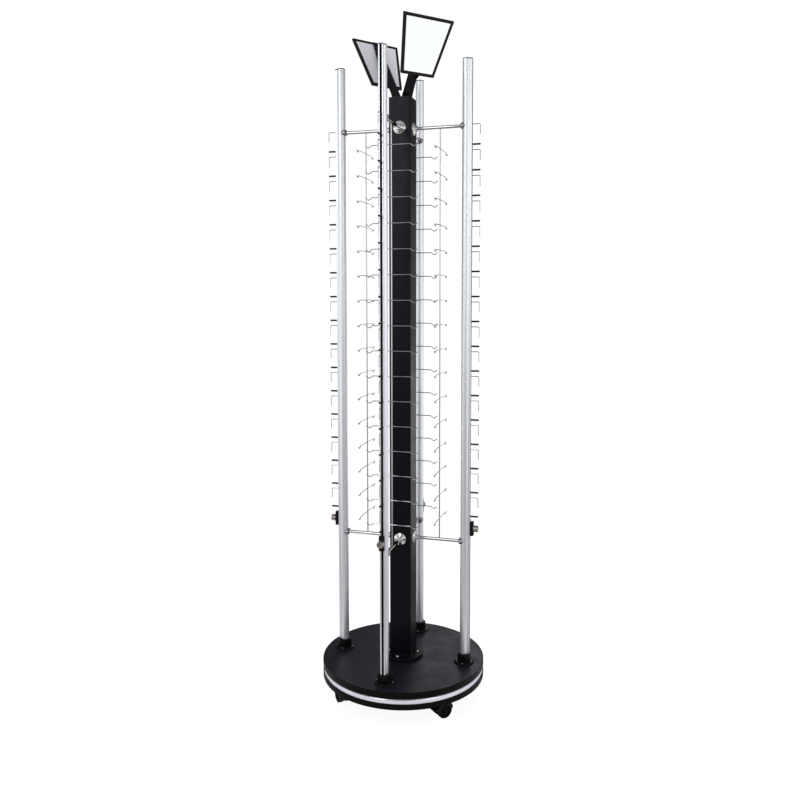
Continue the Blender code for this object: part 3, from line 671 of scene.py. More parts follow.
BOARD = board_look()
EDGE_BAND = band_look()
POWDER = powder_look()
PLASTIC = plastic_look()
CAP_GREY = cap_look()
RUBBER = rubber_look("black_rubber", (0.0034, 0.0032, 0.0034))
TREAD = rubber_look("caster_tread", (0.0030, 0.0020, 0.0018))
ALUMINIUM = extruded_look("satin_aluminium", (0.83, 0.85, 0.89), 0.43, (1400, 1400, 3), 0.015)
# A darker copy of the tube's aluminium for the inside of the bore and the slot's walls: painted shade in the
# hollow of the tube.
BORE_PAINTED_SHADE = extruded_look("aluminium_inside_painted_shade", (0.20, 0.20, 0.22), 0.45, (1400, 1400, 3), 0.03)
TRIM = extruded_look("trim_aluminium", (0.87, 0.88, 1.0), 0.30, (9, 9, 2200), 0.03, 0.9)
CHROME = plated_look("chrome", (0.66, 0.65, 0.63), 0.05)
# A darker copy of the chrome for the saddles: painted shade standing in for the dark reflections on the
# bright plating.
SHADED_CHROME = plated_look("chrome_painted_shade", (0.34, 0.34, 0.37), 0.10)
NICKEL = plated_look("nickel", (0.42, 0.38, 0.35), 0.16, 0.04)
ZINC = zinc_look()
SILVER = silver_look()
BACKING = backing_look()


# ---- base and turntable


def board(name, levels, body, node_name):
    """A laminate disc with its glued edge band."""
    low, high = levels
    core = DISC_RADIUS - BAND
    disc = Shape().lathe(bead(bar(core, low, high), 0.0002, 1), 144)
    piece(name, disc, BOARD, body, node_name)
    inner = core + 0.00005
    section = [(inner, low), (DISC_RADIUS, low), (DISC_RADIUS, high), (inner, high)]
    rounded = filleted(section, [0, DISC_EDGE, DISC_EDGE, 0], 4)
    band = Shape().lathe([tuple(p) for p in rounded], 144, loop=True)
    piece(f"{name}_edge_band", band, EDGE_BAND, body)


def trim_ring():
    """The bright ring between the discs: an upright face that is drawn in under the upper disc."""
    inner, outer = TRIM_RADII
    low, high = TRIM_Z
    shoulder = low + 0.42 * (high - low)
    cove = [(outer - 0.0066 * math.sin(t) ** 2, shoulder + (high - shoulder) * math.sin(t))
            for t in half_turn(20)[:11]]
    loop = filleted([(inner, low), (outer, low), (outer, shoulder)], [0, 0.0006, 0], 3)
    ring = Shape().lathe([tuple(p) for p in loop] + cove[1:] + [(inner, high)], 144, loop=True)
    piece("trim_ring", ring, TRIM, "base", "trim_ring")


def bearing():
    inner, outer = RACE_RADII
    middle = (inner + outer) / 2
    groove = [(middle + 0.0035 * math.cos(t), 0.0018 * math.sin(t)) for t in half_turn(8)]
    for name, (seat, running), body in (
        ("bearing_lower_race", LOWER_RACE_Z, "base"),
        ("bearing_upper_race", UPPER_RACE_Z[::-1], "turntable"),
    ):
        sign = 1 if running < seat else -1
        loop = [(inner, seat), (outer, seat), (outer, running)]
        loop += [(radius, running + sign * depth) for radius, depth in groove] + [(inner, running)]
        ring = Shape().lathe(loop, 96, loop=True)
        for k in range(8):
            level = seat + sign * 0.0001
            place = turned_by(45 * k + 11) @ moved(inner + 0.006, 0, 0)
            ring.lathe(bar(0.003, level, level - sign * 0.0008), 16, place)
        piece(name, ring, ZINC, body, name)
    centre = (LOWER_RACE_Z[1] + UPPER_RACE_Z[0]) / 2
    balls = Shape()
    for k in range(30):
        balls.ball(0.0017, (middle, 0, centre), at=turned_by(12 * k))
    piece("bearing_balls", balls, CHROME, "base")


def socket_plates():
    """A pressed plate under the base for each caster's stem, with four screws."""
    under = BOTTOM_DISC[0]
    plate = Shape()
    profile = [(0.0112, under - 0.0002), (0.0112, under - 0.0014), (0.0165, under - 0.0016)]
    profile += [(0.0172, under - 0.0008), (0.0172, under - 0.0002)]
    plate.lathe(profile, 40, loop=True)
    for k in range(4):
        place = turned_by(90 * k + 45) @ moved(0.0142, 0, under - 0.0016) @ turned_by(180, "X")
        plate.screw(place, 0.0018, 0.0008)
    at_stem = moved(CASTER_STEM_AT, 0, 0)
    repeated([("caster_socket", plate, ZINC, "base", "zinc_steel", None, at_stem)], turned_places(CORNERS))


def casters():
    tyres, hubs = wheel_shapes()
    end = bar(0.0052, HOOD_FOOT, HOOD_TOP)
    stem = Shape().lathe(end[:1] + bead(end[1:], 0.0008), 24)
    far = WHEEL_Y[1] - 0.001
    axle = Shape().lathe(bar(0.0026, -far, far), 20, ALONG_Y)
    body, wheels = "caster_{}", "wheels_{}"
    on_axle = moved(CASTER_TRAIL, 0, WHEEL_CENTRE_Z)
    parts = (
        ("caster_hood", hood_mesh(), PLASTIC, body, "black_plastic", "caster_hood_{}", STILL),
        ("caster_stem", stem, ZINC, body, "zinc_steel", None, STILL),
        ("caster_tyres", tyres, TREAD, wheels, "black_plastic", "caster_wheels_{}", on_axle),
        ("caster_hubs", hubs, PLASTIC, wheels, "black_plastic", None, on_axle),
        ("caster_axle", axle, ZINC, wheels, "zinc_steel", None, on_axle),
    )
    places = {}
    for corner, degrees in CORNERS.items():
        heading = turned_by(CASTER_HEADINGS[corner] - degrees)
        places[corner] = turned_by(degrees) @ moved(CASTER_STEM_AT, 0, 0) @ heading
    repeated(parts, places)


def wheel_shapes():
    """The tyres of a caster's two wheels, and their hubs with six ribs."""
    tyres, hubs = Shape(), Shape()
    near, far = WHEEL_Y
    rim = WHEEL_RADIUS - 0.0035
    for side in (1, -1):
        section = [(rim, near), (WHEEL_RADIUS, near), (WHEEL_RADIUS, far), (rim, far)]
        rounded = filleted(section, [0, 0.0016, 0.0024, 0], 4)
        tyres.lathe([(r, side * y) for r, y in rounded], 56, ALONG_Y, loop=True)
        face = [(rim - 0.0001, near), (rim - 0.0001, far - 0.0004), (rim - 0.0016, far)]
        face += [(rim - 0.0036, far), (rim - 0.0044, far - 0.003), (0.0068, far - 0.0036)]
        face += [(0.0056, far - 0.0004), (0.0030, far), (0, far)]
        outward = ALONG_Y if side > 0 else turned_by(180) @ ALONG_Y
        hubs.lathe([(0, near)] + face, 48, outward)
        for k in range(6):
            ends = (0.0070, -0.0006, far - 0.0040), (rim - 0.0040, 0.0006, far - 0.0009)
            hubs.block(*ends, 0.0003, outward @ turned_by(60 * k), 1)
    return tyres, hubs


def hood_mesh():
    """The caster's body: a web on the axle, a hood over both wheels, and the boss round the stem."""
    centre = (CASTER_TRAIL, WHEEL_CENTRE_Z)
    side = arc(HOOD_RADIUS, *HOOD_ARC, 28, centre)
    tail = filleted([side[-1]] + HOOD_TAIL + [(centre[0] + HOOD_BORE, centre[1])], 0.004, 5, closed=False)
    outline = [Vector(p) for p in side] + tail[1:]
    upright = turned_by(90, "X")
    half = HOOD_WIDTH / 2
    body = Shape().prism(outline, -half, half, 0.0022, upright, 4).mesh("caster_hood")
    at_wheel = moved(centre[0], 0, centre[1])
    for start, end in ((-HOOD_WIDTH, -HOOD_WEB / 2), (HOOD_WEB / 2, HOOD_WIDTH)):
        room = Shape().lathe([(HOOD_BORE, start), (HOOD_BORE, end)], 56, at_wheel @ ALONG_Y)
        body = boolean(body, room.mesh("wheel_room"))
    bore = Shape().lathe([(0.0033, -0.01), (0.0033, 0.01)], 24, at_wheel @ ALONG_Y)
    body = boolean(body, bore.mesh("axle_room"))
    under = BOTTOM_DISC[0] + 0.0002
    boss = Shape().lathe([(0, 0.0515)] + bead([(0.0098, 0.0515), (0.0098, under), (0, under)], 0.0008), 32)
    skirt = Shape().lathe([(0, 0.0488)] + bead([(0.0125, 0.0488), (0.0100, 0.0540), (0, 0.0540)], 0.001), 32)
    body = boolean(body, boss.mesh("boss"), "UNION")
    return boolean(body, skirt.mesh("skirt"), "UNION")


# ---- column


def square(half, corner, steps=6):
    inner = half - corner
    middles = [(inner, inner), (-inner, inner), (-inner, -inner), (inner, -inner)]
    return [Vector(p) for i, m in enumerate(middles) for p in arc(corner, 90 * i, 90 * i + 90, steps, m)]


def column():
    low, high = COLUMN_Z
    half = COLUMN_WIDTH / 2
    bore = square(half - COLUMN_WALL, COLUMN_CORNER - COLUMN_WALL)
    post = Shape().frame(square(half, COLUMN_CORNER), bore, low, high, 0.0005)
    piece("column_post", post, POWDER, "turntable", "column_post")

    base, top = FOOT_Z
    edge = [(FOOT_RADIUS, base), (FOOT_RADIUS, top - 0.0005), (FOOT_RADIUS - 0.006, top), (0, top)]
    foot = Shape().lathe([(0, base)] + bead(edge, 0.003, 5), 96)
    piece("column_foot", foot, POWDER, "turntable", "column_foot")

    weld = Shape()
    path = [(p.x, p.y, low + 0.0004) for p in square(half + 0.0004, COLUMN_CORNER + 0.0004, 5)]
    rows = []
    for i, point in enumerate(path):
        before, after = Vector(path[i - 1]), Vector(path[(i + 1) % len(path)])
        along = (after - before).normalized()
        out = Vector((along.y, -along.x, 0))
        rows.append([Vector(point) + 0.0022 * (math.cos(t) * out + math.sin(t) * UP) for t in full_turn(8)])
    weld.add(*skin(rows, loop=True))
    piece("column_weld", weld, POWDER, "turntable")

    screws = Shape()
    for turn in FOOT_SCREW_TURNS:
        screws.screw(turned_by(turn) @ moved(FOOT_SCREWS_AT, 0, top - 0.0001), 0.0048, 0.0036)
    piece("foot_screws", screws, CHROME, "turntable")


# ---- one side


def slotted_outline():
    """The tube's wall: round outside with two lips, open through the slot."""
    bore = TUBE_RADIUS - TUBE_WALL
    lip_angle = math.degrees(math.asin(LIP_HALF_WIDTH / TUBE_RADIUS))
    slot_angle = math.degrees(math.asin(SLOT_HALF_WIDTH / bore))
    outside = arc(TUBE_RADIUS, lip_angle, 360 - lip_angle, 56)
    inside = arc(bore, 360 - slot_angle, slot_angle, 44)
    lower = [(LIP_REACH, -LIP_HALF_WIDTH), (LIP_REACH, -SLOT_HALF_WIDTH)]
    upper = [(LIP_REACH, SLOT_HALF_WIDTH), (LIP_REACH, LIP_HALF_WIDTH)]
    radii = [0.0] * len(outside) + [0.0012, 0.0007] + [0.0] * len(inside) + [0.0007, 0.0012]
    return filleted(outside + lower + inside + upper, radii, 4)


def keyhole_reach(extra):
    """How far the tube's outline, grown by `extra`, reaches in a direction from its axis."""
    radius, reach, half = TUBE_RADIUS + extra, LIP_REACH + extra, LIP_HALF_WIDTH + extra

    def at(turn):
        cosine, sine = math.cos(turn), math.sin(turn)
        if cosine <= 0:
            return radius
        lips = min(reach / cosine, half / max(abs(sine), 1e-6))
        return max(radius, lips)

    return at


def cap_shape():
    low = CAP_Z[1] - CAP_PLATE
    edge = 0.0012
    rows = [(keyhole_reach(-0.0006), low), (keyhole_reach(0.0), low + 0.0005)]
    rows += [(keyhole_reach(-drawn), CAP_Z[1] - along) for drawn, along in rounding(edge, 4)[::-1]]
    cap = Shape().lathe([(0, low)] + rows + [(0, CAP_Z[1])], 96)
    plug = [(0, CAP_Z[0]), (0.0098, CAP_Z[0]), (0.0103, CAP_Z[0] + 0.001), (0.0103, low), (0, low)]
    return cap.lathe(plug, 40)


def collar_shape():
    """The tube's foot: a round flange and a ribbed barrel that the tube stands in."""
    low, high = COLLAR_Z
    ledge = low + COLLAR_FLANGE_HEIGHT
    room = keyhole_reach(0.0003)

    def ribbed(drawn):
        return lambda turn: COLLAR_RADIUS - drawn - 0.0007 * (math.cos(16 * turn) > 0.35)

    outer = bead([(COLLAR_FLANGE_RADIUS, low), (COLLAR_FLANGE_RADIUS, ledge - 0.002),
                  (COLLAR_FLANGE_RADIUS - 0.004, ledge), (COLLAR_RADIUS + 0.0006, ledge)], 0.0012, 4)
    barrel = [(ribbed(0.0), ledge + 0.0003), (ribbed(0.0), high - 0.0025), (ribbed(0.0010), high - 0.0016)]
    barrel += [(COLLAR_RADIUS - 0.0018, high - 0.0006), (COLLAR_RADIUS - 0.0030, high)]
    mouth = [(keyhole_reach(0.0009), high), (room, high - 0.0008), (room, low)]
    return Shape().lathe(outer + barrel + mouth, 128, loop=True)


def arm_pieces():
    """Rod, domed flange and saddle of an arm, along +X."""
    face = COLUMN_WIDTH / 2 + 0.0003
    tube_face = TUBE_AT - TUBE_RADIUS
    rod = Shape().lathe(bar(ARM_RADIUS, face + 0.004, tube_face - 0.006), 32, ALONG_X)
    dish = [(ARM_FLANGE_RADIUS, face), (ARM_FLANGE_RADIUS, face + 0.0022), (0.0150, face + 0.0040),
            (0.0105, face + 0.0060), (ARM_BOSS_RADIUS, face + 0.0072), (ARM_BOSS_RADIUS, face + 0.0118),
            (ARM_RADIUS + 0.0002, face + 0.0124), (0, face + 0.0124)]
    flange = Shape().lathe([(0, face)] + bead(dish, 0.0016, 5), 64, ALONG_X)
    profile = [(radius, TUBE_AT - short) for short, radius in SADDLE_PROFILE]
    profile = [(0, profile[0][1])] + profile + [(0, profile[-1][1])]
    widen = Matrix.Diagonal((1, SADDLE_WIDEN, 1, 1))
    saddle = Shape().lathe(bead(profile, 0.0030, 6), 56, widen @ ALONG_X).mesh("saddle")
    off_seam = moved(TUBE_AT, 0, 0) @ turned_by(1.3)
    tube_room = Shape().lathe(bar(TUBE_RADIUS + 0.0001, -0.02, 0.02), 96, off_seam)
    return rod.mesh("arm_rod"), flange.mesh("arm_flange"), boolean(saddle, tube_room.mesh("tube_room"))


def temple_rest():
    low = ARM_Z["lower"] + ARM_RADIUS
    high = ARM_Z["upper"] - ARM_RADIUS
    line = [(0, 0, low), (0, 0, (low + high) / 2), (0, 0, high)]
    rod = Shape().wire(line, REST_ROD_RADIUS, 12, blunt=0.0004)
    wires = Shape()
    half_route = [(REST_NOTCH_INNER, 0), (REST_NOTCH_AT, -REST_NOTCH_DEPTH), (REST_HALF_LENGTH, 0)]
    radii = [0, 0.004, 0.0035, 0.0035, 0.004, 0]
    for level in PEG_LEVELS:
        z = level - REST_BELOW_PEG
        lean, drop, sway = (random.uniform(-0.0004, 0.0004) for _ in range(3))
        route = [(-y, fall) for y, fall in reversed(half_route)] + half_route
        points = []
        for y, fall in route:
            out = REST_WIRE_OFFSET + sway * abs(y) / REST_HALF_LENGTH
            points.append((out, y, z + fall + lean * y / 0.08 + drop * 0.3))
        wires.wire(filleted(points, radii, 5, closed=False), WIRE_RADIUS, 8)
        wires.ball(0.0019, (REST_WIRE_OFFSET * 0.55, 0, z), 5, 10)
    return rod, wires


def sliding_bar():
    """A flat bar with a window for each peg, long enough for the bar's travel."""
    half, clear = LOCK_BAR_WIDTH / 2, WINDOW_HALF_WIDTH
    (inner, outer), (low, high) = LOCK_BAR_X, LOCK_BAR_Z
    flat = Shape().block((inner, -half, low), (outer, half, high), 0)
    windows = Shape()
    for level in PEG_LEVELS:
        top = level + LOCK_TRAVEL + clear
        windows.block((inner - 0.001, -clear, level - clear), (outer + 0.001, clear, top), 0)
    return boolean(flat.mesh("flat"), windows.mesh("windows"))


def hooks():
    shape = Shape()
    start = sum(LOCK_BAR_X) / 2
    for level in PEG_LEVELS:
        z = level + HOOK_ABOVE_PEG
        splay = random.uniform(-0.0006, 0.0006)
        points = [(start, 0, z), (HOOK_REACH, splay * 0.3, z), (HOOK_REACH, splay, z - HOOK_LEG)]
        shape.wire(filleted(points, [0, 0.0045, 0], 6, closed=False), WIRE_RADIUS, 8, blunt=0.0004)
        shape.lathe([(0, 0.0044), (0.0030, 0.0044), (0.0030, 0.0056), (0.0020, 0.0062), (0, 0.0062)], 16,
                    moved(0, 0, z) @ ALONG_X)
    return shape


def pegs():
    """Steel pins in the strip, each under a black sleeve with a rounded tip."""
    pins, sleeves = Shape(), Shape()
    back = PEG_STRIP_X[0]
    for level in PEG_LEVELS:
        at = moved(0, 0, level)
        pins.wire([(back, 0, 0), (0, 0, 0), (PEG_REACH - 0.003, 0, 0)], 0.0013, 10, at, blunt=0.0003)
        pins.lathe([(0, PEG_STRIP_X[1]), (0.0028, PEG_STRIP_X[1]), (0.0026, PEG_STRIP_X[1] + 0.0012),
                    (0, PEG_STRIP_X[1] + 0.0016)], 16, at @ ALONG_X)
        tip = SLEEVE_RADIUS
        root = LIP_REACH + 0.0012
        profile = [(0, root), (tip * 0.86, root), (tip, root + 0.0006), (tip, PEG_REACH - tip)]
        profile += [(tip * math.cos(t), PEG_REACH - tip + tip * math.sin(t)) for t in half_turn(10)[1:5]]
        sleeves.lathe(profile + [(0, PEG_REACH)], 18, at @ ALONG_X)
    return pins, sleeves


def lock_block():
    half = BLOCK_WIDTH / 2
    block = Shape()
    block.block((BLOCK_X[0], -half, -BLOCK_HEIGHT / 2), (BLOCK_X[1], half, BLOCK_HEIGHT / 2), 0.0018)
    inner, outer = LOCK_BAR_X[0] + 0.001, BLOCK_X[0] + 0.002
    for start, end in ((0.0078, 0.0200), (-0.0200, -0.0078)):
        block.block((inner, -0.0026, start), (outer, 0.0026, end), 0.0003, steps=1)
    for z in (-0.0165, 0.0165):
        block.screw(moved(BLOCK_X[1] - 0.0001, 0, z) @ ALONG_X, 0.0026, 0.0012)
    return block


def lock_barrel():
    """The cylinder: a flange, a grooved body and a bevelled face round the plug."""
    seat = BLOCK_X[1] + 0.0003
    room = PLUG_RADIUS + 0.0003
    pocket = BARREL_TIP - PLUG_DEPTH
    groove = BARREL_RADIUS - 0.0005
    profile = [(0.0030, seat), (BARREL_RADIUS, seat), (BARREL_RADIUS, seat + 0.0030)]
    profile += [(groove, seat + 0.0034), (groove, seat + 0.0042), (BARREL_RADIUS, seat + 0.0046)]
    profile += [(BARREL_RADIUS, BARREL_TIP - 0.0016), (BARREL_RADIUS - 0.0012, BARREL_TIP - 0.0002)]
    profile += [(room + 0.0010, BARREL_TIP), (room, BARREL_TIP - 0.0006), (room, pocket), (0.0030, pocket)]
    return Shape().lathe(profile, 56, ALONG_X, loop=True)


def lock_plug():
    """The key plug with its keyway, its shank and the cam behind the slot."""
    head = BARREL_TIP - PLUG_DEPTH + 0.0004
    tip = BARREL_TIP - 0.0003
    profile = [(0, head)] + bead([(PLUG_RADIUS, head), (PLUG_RADIUS, tip), (0, tip)], 0.0005)
    plug = Shape().lathe(profile, 40, ALONG_X).mesh("plug_head")
    for half_width, low, high in ((0.0006, -0.0036, 0.0030), (0.0013, -0.0014, -0.0004)):
        deep, past = BARREL_TIP - 0.0020, BARREL_TIP + 0.001
        keyway = Shape().block((deep, -half_width, low), (past, half_width, high), 0.0002, steps=1)
        plug = boolean(plug, keyway.mesh("keyway"))
    cam = Shape().lathe(bar(0.0023, CAM_X[0], head + 0.0002), 20, ALONG_X)
    cam.block((CAM_X[0] + 0.0001, -0.0022, -0.0065), (CAM_X[1] - 0.0001, 0.0022, 0.0065), 0.0006)
    return plug, cam


def sides():
    tube = Shape().prism(slotted_outline(), *TUBE_Z).mesh("slotted_tube", 30)
    tube.materials.append(ALUMINIUM)
    tube.materials.append(BORE_PAINTED_SHADE)
    # Faces inside the bore and along the slot take the darker aluminium: painted shade in the tube's hollow.
    for face in tube.polygons:
        x, y, _ = face.center
        in_shaded_slot = x > TUBE_RADIUS - TUBE_WALL and abs(y) < SLOT_HALF_WIDTH + 0.0004
        face.material_index = int(in_shaded_slot or math.hypot(x, y) < TUBE_RADIUS - TUBE_WALL / 2)
    pins, sleeves = pegs()
    low, high = zip(PEG_STRIP_X, (-PEG_STRIP_WIDTH / 2, PEG_STRIP_WIDTH / 2), PEG_STRIP_Z)
    strip = Shape().block(low, high, 0.0005, steps=2)
    rest_rod, rest_wires = temple_rest()
    rod, flange, saddle = arm_pieces()
    plug, cam = lock_plug()
    collar_screws = Shape()
    for turn in (90, -90, 180):
        ledge = COLLAR_Z[0] + COLLAR_FLANGE_HEIGHT
        collar_screws.screw(turned_by(turn) @ moved(0.0246, 0, ledge - 0.0001), 0.0022, 0.0010)
    on_tube = moved(TUBE_AT, 0, 0)
    at_lock = moved(TUBE_AT, 0, LOCK_Z)
    at_rest = moved(REST_ROD_AT, 0, 0)
    table, lock = "turntable", "lock_bar_{}"
    collar = collar_shape().mesh("tube_collar", 30)
    parts = [
        ("slotted_tube", tube, ALUMINIUM, table, "satin_aluminium", "slotted_tube_{}", on_tube),
        ("tube_cap", cap_shape(), CAP_GREY, table, "black_plastic", "tube_cap_{}", on_tube),
        ("tube_collar", collar, PLASTIC, table, "black_plastic", "tube_collar_{}", on_tube),
        ("collar_screws", collar_screws, ZINC, table, "zinc_steel", None, on_tube),
        ("peg_strip", strip, POWDER, table, "black_steel", "nose_peg_strip_{}", on_tube),
        ("peg_pins", pins, ZINC, table, "zinc_steel", None, on_tube),
        ("peg_sleeves", sleeves, RUBBER, table, "black_rubber", None, on_tube),
        ("rest_rod", rest_rod, ZINC, table, "zinc_steel", "temple_rest_{}", at_rest),
        ("rest_wires", rest_wires, ZINC, table, "zinc_steel", None, at_rest),
        ("sliding_bar", sliding_bar(), POWDER, lock, "black_steel", "lock_bar_{}", on_tube),
        ("lock_hooks", hooks(), ZINC, lock, "zinc_steel", None, on_tube),
        ("lock_block", lock_block(), PLASTIC, lock, "black_plastic", None, at_lock),
        ("lock_barrel", lock_barrel(), NICKEL, lock, "nickel", "lock_barrel_{}", at_lock),
        ("key_plug", plug, NICKEL, "lock_plug_{}", "nickel", "lock_plug_{}", at_lock),
        ("lock_cam", cam, ZINC, "lock_plug_{}", "zinc_steel", None, at_lock),
    ]
    for level, height in ARM_Z.items():
        at = moved(0, 0, height)
        parts += [
            (f"{level}_arm_rod", rod, CHROME, table, "chrome", level + "_arm_{}", at),
            (f"{level}_arm_flange", flange, CHROME, table, "chrome", None, at),
            # The saddles take the darker copy of the chrome: painted shade.
            (f"{level}_arm_saddle", saddle, SHADED_CHROME, table, "chrome", None, at),
        ]
    repeated(parts, turned_places(SIDES))


# ---- mirrors


def mirror_axes():
    """The mirror's axes in its stem's plane: x outward from its face, y sideways, z up its face."""
    outward = Vector((math.cos(MIRROR_LEAN), 0, -math.sin(MIRROR_LEAN)))
    upward = Vector((math.sin(MIRROR_LEAN), 0, math.cos(MIRROR_LEAN)))
    turn = Matrix((outward, Vector((0, 1, 0)), upward)).transposed().to_4x4()
    return moved(MIRROR_FOOT[0], 0, MIRROR_FOOT[1]) @ turn


def trapezoid(drawn_in, corner):
    slope = (MIRROR_TOP_WIDTH - MIRROR_BOTTOM_WIDTH) / 2 / MIRROR_LENGTH
    side = drawn_in * math.hypot(1, slope)
    foot = MIRROR_BOTTOM_WIDTH / 2 + slope * drawn_in - side
    head = MIRROR_TOP_WIDTH / 2 - slope * drawn_in - side
    low, high = drawn_in, MIRROR_LENGTH - drawn_in
    return filleted([(-foot, low), (foot, low), (head, high), (-head, high)], corner, 4)


def stem_width(share):
    """The strip's width at a share of its length from the column."""
    return STEM_WIDTHS[0] + (STEM_WIDTHS[1] - STEM_WIDTHS[0]) * share


def stem_shapes():
    """The folded stem: a strip that narrows to the mirror's head, with two side flanges."""
    axes = mirror_axes()
    behind = -(MIRROR_DEPTH + 0.0003)

    def on_back(depth, up):
        point = axes @ Vector((behind - depth, 0, up))
        return Vector((point.x, point.z))

    start, knee = Vector(STEM_START), Vector(STEM_KNEE)
    head = on_back(STEM_THICKNESS / 2 + 0.0005, MIRROR_LENGTH - 0.003)
    path = filleted([start, knee, head], [0, 0.006, 0], 6, closed=False)
    total = sum((b - a).length for a, b in zip(path, path[1:]))
    rows, gone = [], 0.0
    half_t = STEM_THICKNESS / 2
    for i, point in enumerate(path):
        before, after = path[max(i - 1, 0)], path[min(i + 1, len(path) - 1)]
        gone += (point - before).length if i else 0.0
        along = (after - before).normalized()
        out = Vector((along.y, -along.x))
        width = stem_width(max(0.0, gone / total - 0.08) / 0.92)
        corners = [(-width / 2, -half_t), (width / 2, -half_t), (width / 2, half_t), (-width / 2, half_t)]
        rows.append([(point.x + out.x * t, y, point.y + out.y * t) for y, t in filleted(corners, 0.0007, 3)])
    strip = Shape().add(*skin(rows))

    span = [knee.lerp(head, share) for share in FLANGE_SPAN]
    ends = [on_back(0, up) for up in FLANGE_UP]
    outline = filleted([span[0], ends[0], ends[1], span[1]], [0.002, 0.003, 0.001, 0.001], 4)
    upright = turned_by(90, "X")
    reach = (head - knee).length

    def pulled(point, side):
        share = (Vector((point.x, point.z)) - knee).dot((head - knee).normalized()) / reach
        edge = (stem_width(share) - FLANGE_WALL) / 2 - 0.0005
        return (point.x, point.y + side * edge, point.z)

    flange = Shape().prism(outline, -FLANGE_WALL / 2, FLANGE_WALL / 2, 0.0004, upright, 2)
    for side in (-1, 1):
        strip.add([pulled(point, side) for point in flange.points], flange.faces)
    return strip


def mirrors():
    half = COLUMN_WIDTH / 2 - COLUMN_WALL - 0.0003
    plate = Shape().prism(square(half, COLUMN_CORNER - COLUMN_WALL), *BRACKET_CAP_Z, 0.0005)
    piece("bracket_plate", plate, POWDER, "turntable", "mirror_bracket")
    to_face = mirror_axes() @ FACING
    outer, inner = trapezoid(0, 0.0020), trapezoid(MIRROR_RIM, 0.0012)
    rim = Shape().frame(outer, inner, -MIRROR_DEPTH, 0, 0.0008, to_face)
    drawn = trapezoid(MIRROR_RIM + 0.0003, 0.0010)
    glass = Shape().prism(drawn, *GLASS, 0.0003, to_face, 2)
    backing = Shape().prism(drawn, -MIRROR_DEPTH + 0.0006, GLASS[0] - 0.0001, 0.0003, to_face, 2)
    screw = Shape()
    face = STEM_START[0] + STEM_THICKNESS / 2
    screw.screw(moved(face - 0.0001, 0, STEM_KNEE[1] - 0.0010) @ ALONG_X, 0.0066, 0.0030)
    rivets = Shape()
    for up in (0.045, 0.115):
        spot = mirror_axes() @ moved(-MIRROR_DEPTH, 0, up) @ turned_by(-90, "Y")
        domed = [(0, -0.0005), (0.0035, -0.0005), (0.0035, 0.0012), (0.0028, 0.0018), (0, 0.0018)]
        rivets.lathe(domed, 24, spot)
    parts = [
        (name, form, look, "turntable", slot, replaced, STILL)
        for name, form, look, slot, replaced in (
            ("mirror_stem", stem_shapes(), POWDER, "black_steel", None),
            ("mirror_rim", rim, PLASTIC, "black_plastic", "mirror_rim_{}"),
            ("mirror_glass", glass, SILVER, "mirror_glass", "mirror_glass_{}"),
            ("mirror_backing", backing, BACKING, "mirror_glass", None),
            ("stem_screw", screw, POWDER, "black_steel", None),
            ("stem_rivets", rivets, POWDER, "black_steel", None),
        )
    ]
    repeated(parts, turned_places(MIRRORS))


# ---- stage, light and camera


def ramped(tree, factor, stops):
    """A grey level that follows a factor through (place, level) stops."""
    ramp = node(tree, "ValToRGB", factor)
    elements = ramp.color_ramp.elements
    elements[0].position, elements[-1].position = stops[0][0], stops[-1][0]
    for place, _ in stops[1:-1]:
        elements.new(place)
    for element, (_, level) in zip(elements, stops):
        element.color = (level, level, level, 1)
    return ramp.outputs["Color"]


def stage():
    look = mottled("studio_floor", (0.22, 0.22, 0.223), 0.65, 0.05, 0.8, 0.01)
    tree = look.tree
    distance = node(tree, "VectorMath", look.coordinates, operation="LENGTH").outputs["Value"]
    share = look.ranged(distance, 0.0, 1.0, 0.0, FLOOR_REACH)
    near, far = (
        ramped(tree, share, [(place / FLOOR_REACH, level) for place, level in stops])
        for stops in (FLOOR_NEAR_GLOW, FLOOR_FAR_GLOW)
    )
    outward = node(tree, "VectorMath", look.coordinates, operation="NORMALIZE").outputs["Vector"]
    forward = node(tree, "VectorMath", outward, TOWARDS_CAMERA, operation="DOT_PRODUCT").outputs["Value"]
    aside = look.ranged(forward, 1.0, 0.05, 0.5, 0.85)
    in_front = look.ranged(forward, 0.10, 1.0, -0.85, -0.20)
    near = node(tree, "Math", in_front, near, operation="MULTIPLY").outputs[0]
    glow = node(tree, "Math", far, aside, near, operation="MULTIPLY_ADD").outputs[0]
    seen = node(tree, "LightPath").outputs["Is Camera Ray"]
    look.shader.inputs["Emission Color"].default_value = (1, 1, 1, 1)
    look.feed("Emission Strength", node(tree, "Mix", Factor=seen, A=glow, B=FLOOR_SEEN).outputs["Result"])
    floor = Shape().lathe(bar(FLOOR_RADIUS, -0.02, 0)[::-1], 96)
    obj = placed("studio_floor", floor.mesh("studio_floor"))
    obj.data.materials.append(look.material)
    obj.matrix_world = moved(0, 0, cad_low.z - 0.0002)


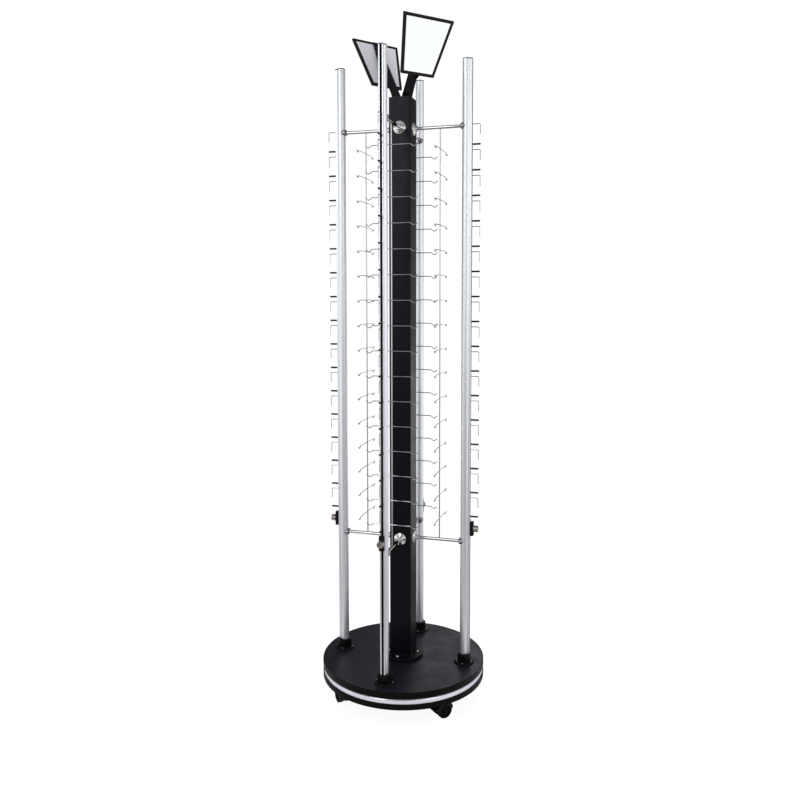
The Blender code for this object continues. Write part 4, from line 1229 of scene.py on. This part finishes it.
def sky():
    """White to the camera, and a surround for the light that is brightest at the horizon and in front."""
    world = bpy.data.worlds.new("studio")
    bpy.context.scene.world = world
    world.use_nodes = True
    tree = world.node_tree
    tree.nodes.clear()
    direction = node(tree, "TexCoord").outputs["Generated"]
    levels = []
    for axis, stops in (((0, 0, 1), SKY_BY_HEIGHT), (TOWARDS_CAMERA, SKY_BY_FRONT)):
        along = node(tree, "VectorMath", direction, axis, operation="DOT_PRODUCT").outputs["Value"]
        share = node(tree, "MapRange", Value=along, From_Min=-1.0).outputs["Result"]
        levels.append(ramped(tree, share, [((place + 1) / 2, level) for place, level in stops]))
    product = node(tree, "VectorMath", *levels, operation="MULTIPLY").outputs["Vector"]
    cast = node(tree, "Background", Color=product, Strength=SKY_STRENGTH).outputs[0]
    seen = node(tree, "Background", Color=(1, 1, 1, 1), Strength=SKY_SEEN).outputs[0]
    mix = node(tree, "MixShader", node(tree, "LightPath").outputs["Is Camera Ray"], cast, seen)
    node(tree, "OutputWorld", Surface=mix.outputs[0])


def softboxes():
    for name, (place, aim, sides_m, power) in SOFTBOXES.items():
        light = bpy.data.lights.new(name, "AREA")
        light.shape = "RECTANGLE"
        light.size, light.size_y = sides_m
        light.energy = power
        obj = placed(name, light)
        obj.location = place
        obj.rotation_euler = (Vector(aim) - Vector(place)).to_track_quat("-Z", "Y").to_euler()


def camera():
    data = bpy.data.cameras.new("camera")
    data.lens = CAMERA_LENS
    data.sensor_width = 36
    data.shift_x, data.shift_y = CAMERA_SHIFT
    data.clip_end = 60
    obj = placed("camera", data)
    obj.location = Vector(TOWARDS_CAMERA) * CAMERA_DISTANCE + Vector((0, 0, CAMERA_HEIGHT))
    obj.rotation_euler = (math.pi / 2 - CAMERA_TILT, CAMERA_ROLL, CAMERA_TURN)
    bpy.context.scene.camera = obj
    bpy.context.scene.view_settings.view_transform = "Standard"


board("lower_board", BOTTOM_DISC, "base", "bottom_disc")
board("upper_board", TOP_DISC, "turntable", "top_disc")
trim_ring()
bearing()
socket_plates()
casters()
column()
sides()
mirrors()
stage()
sky()
softboxes()
camera()
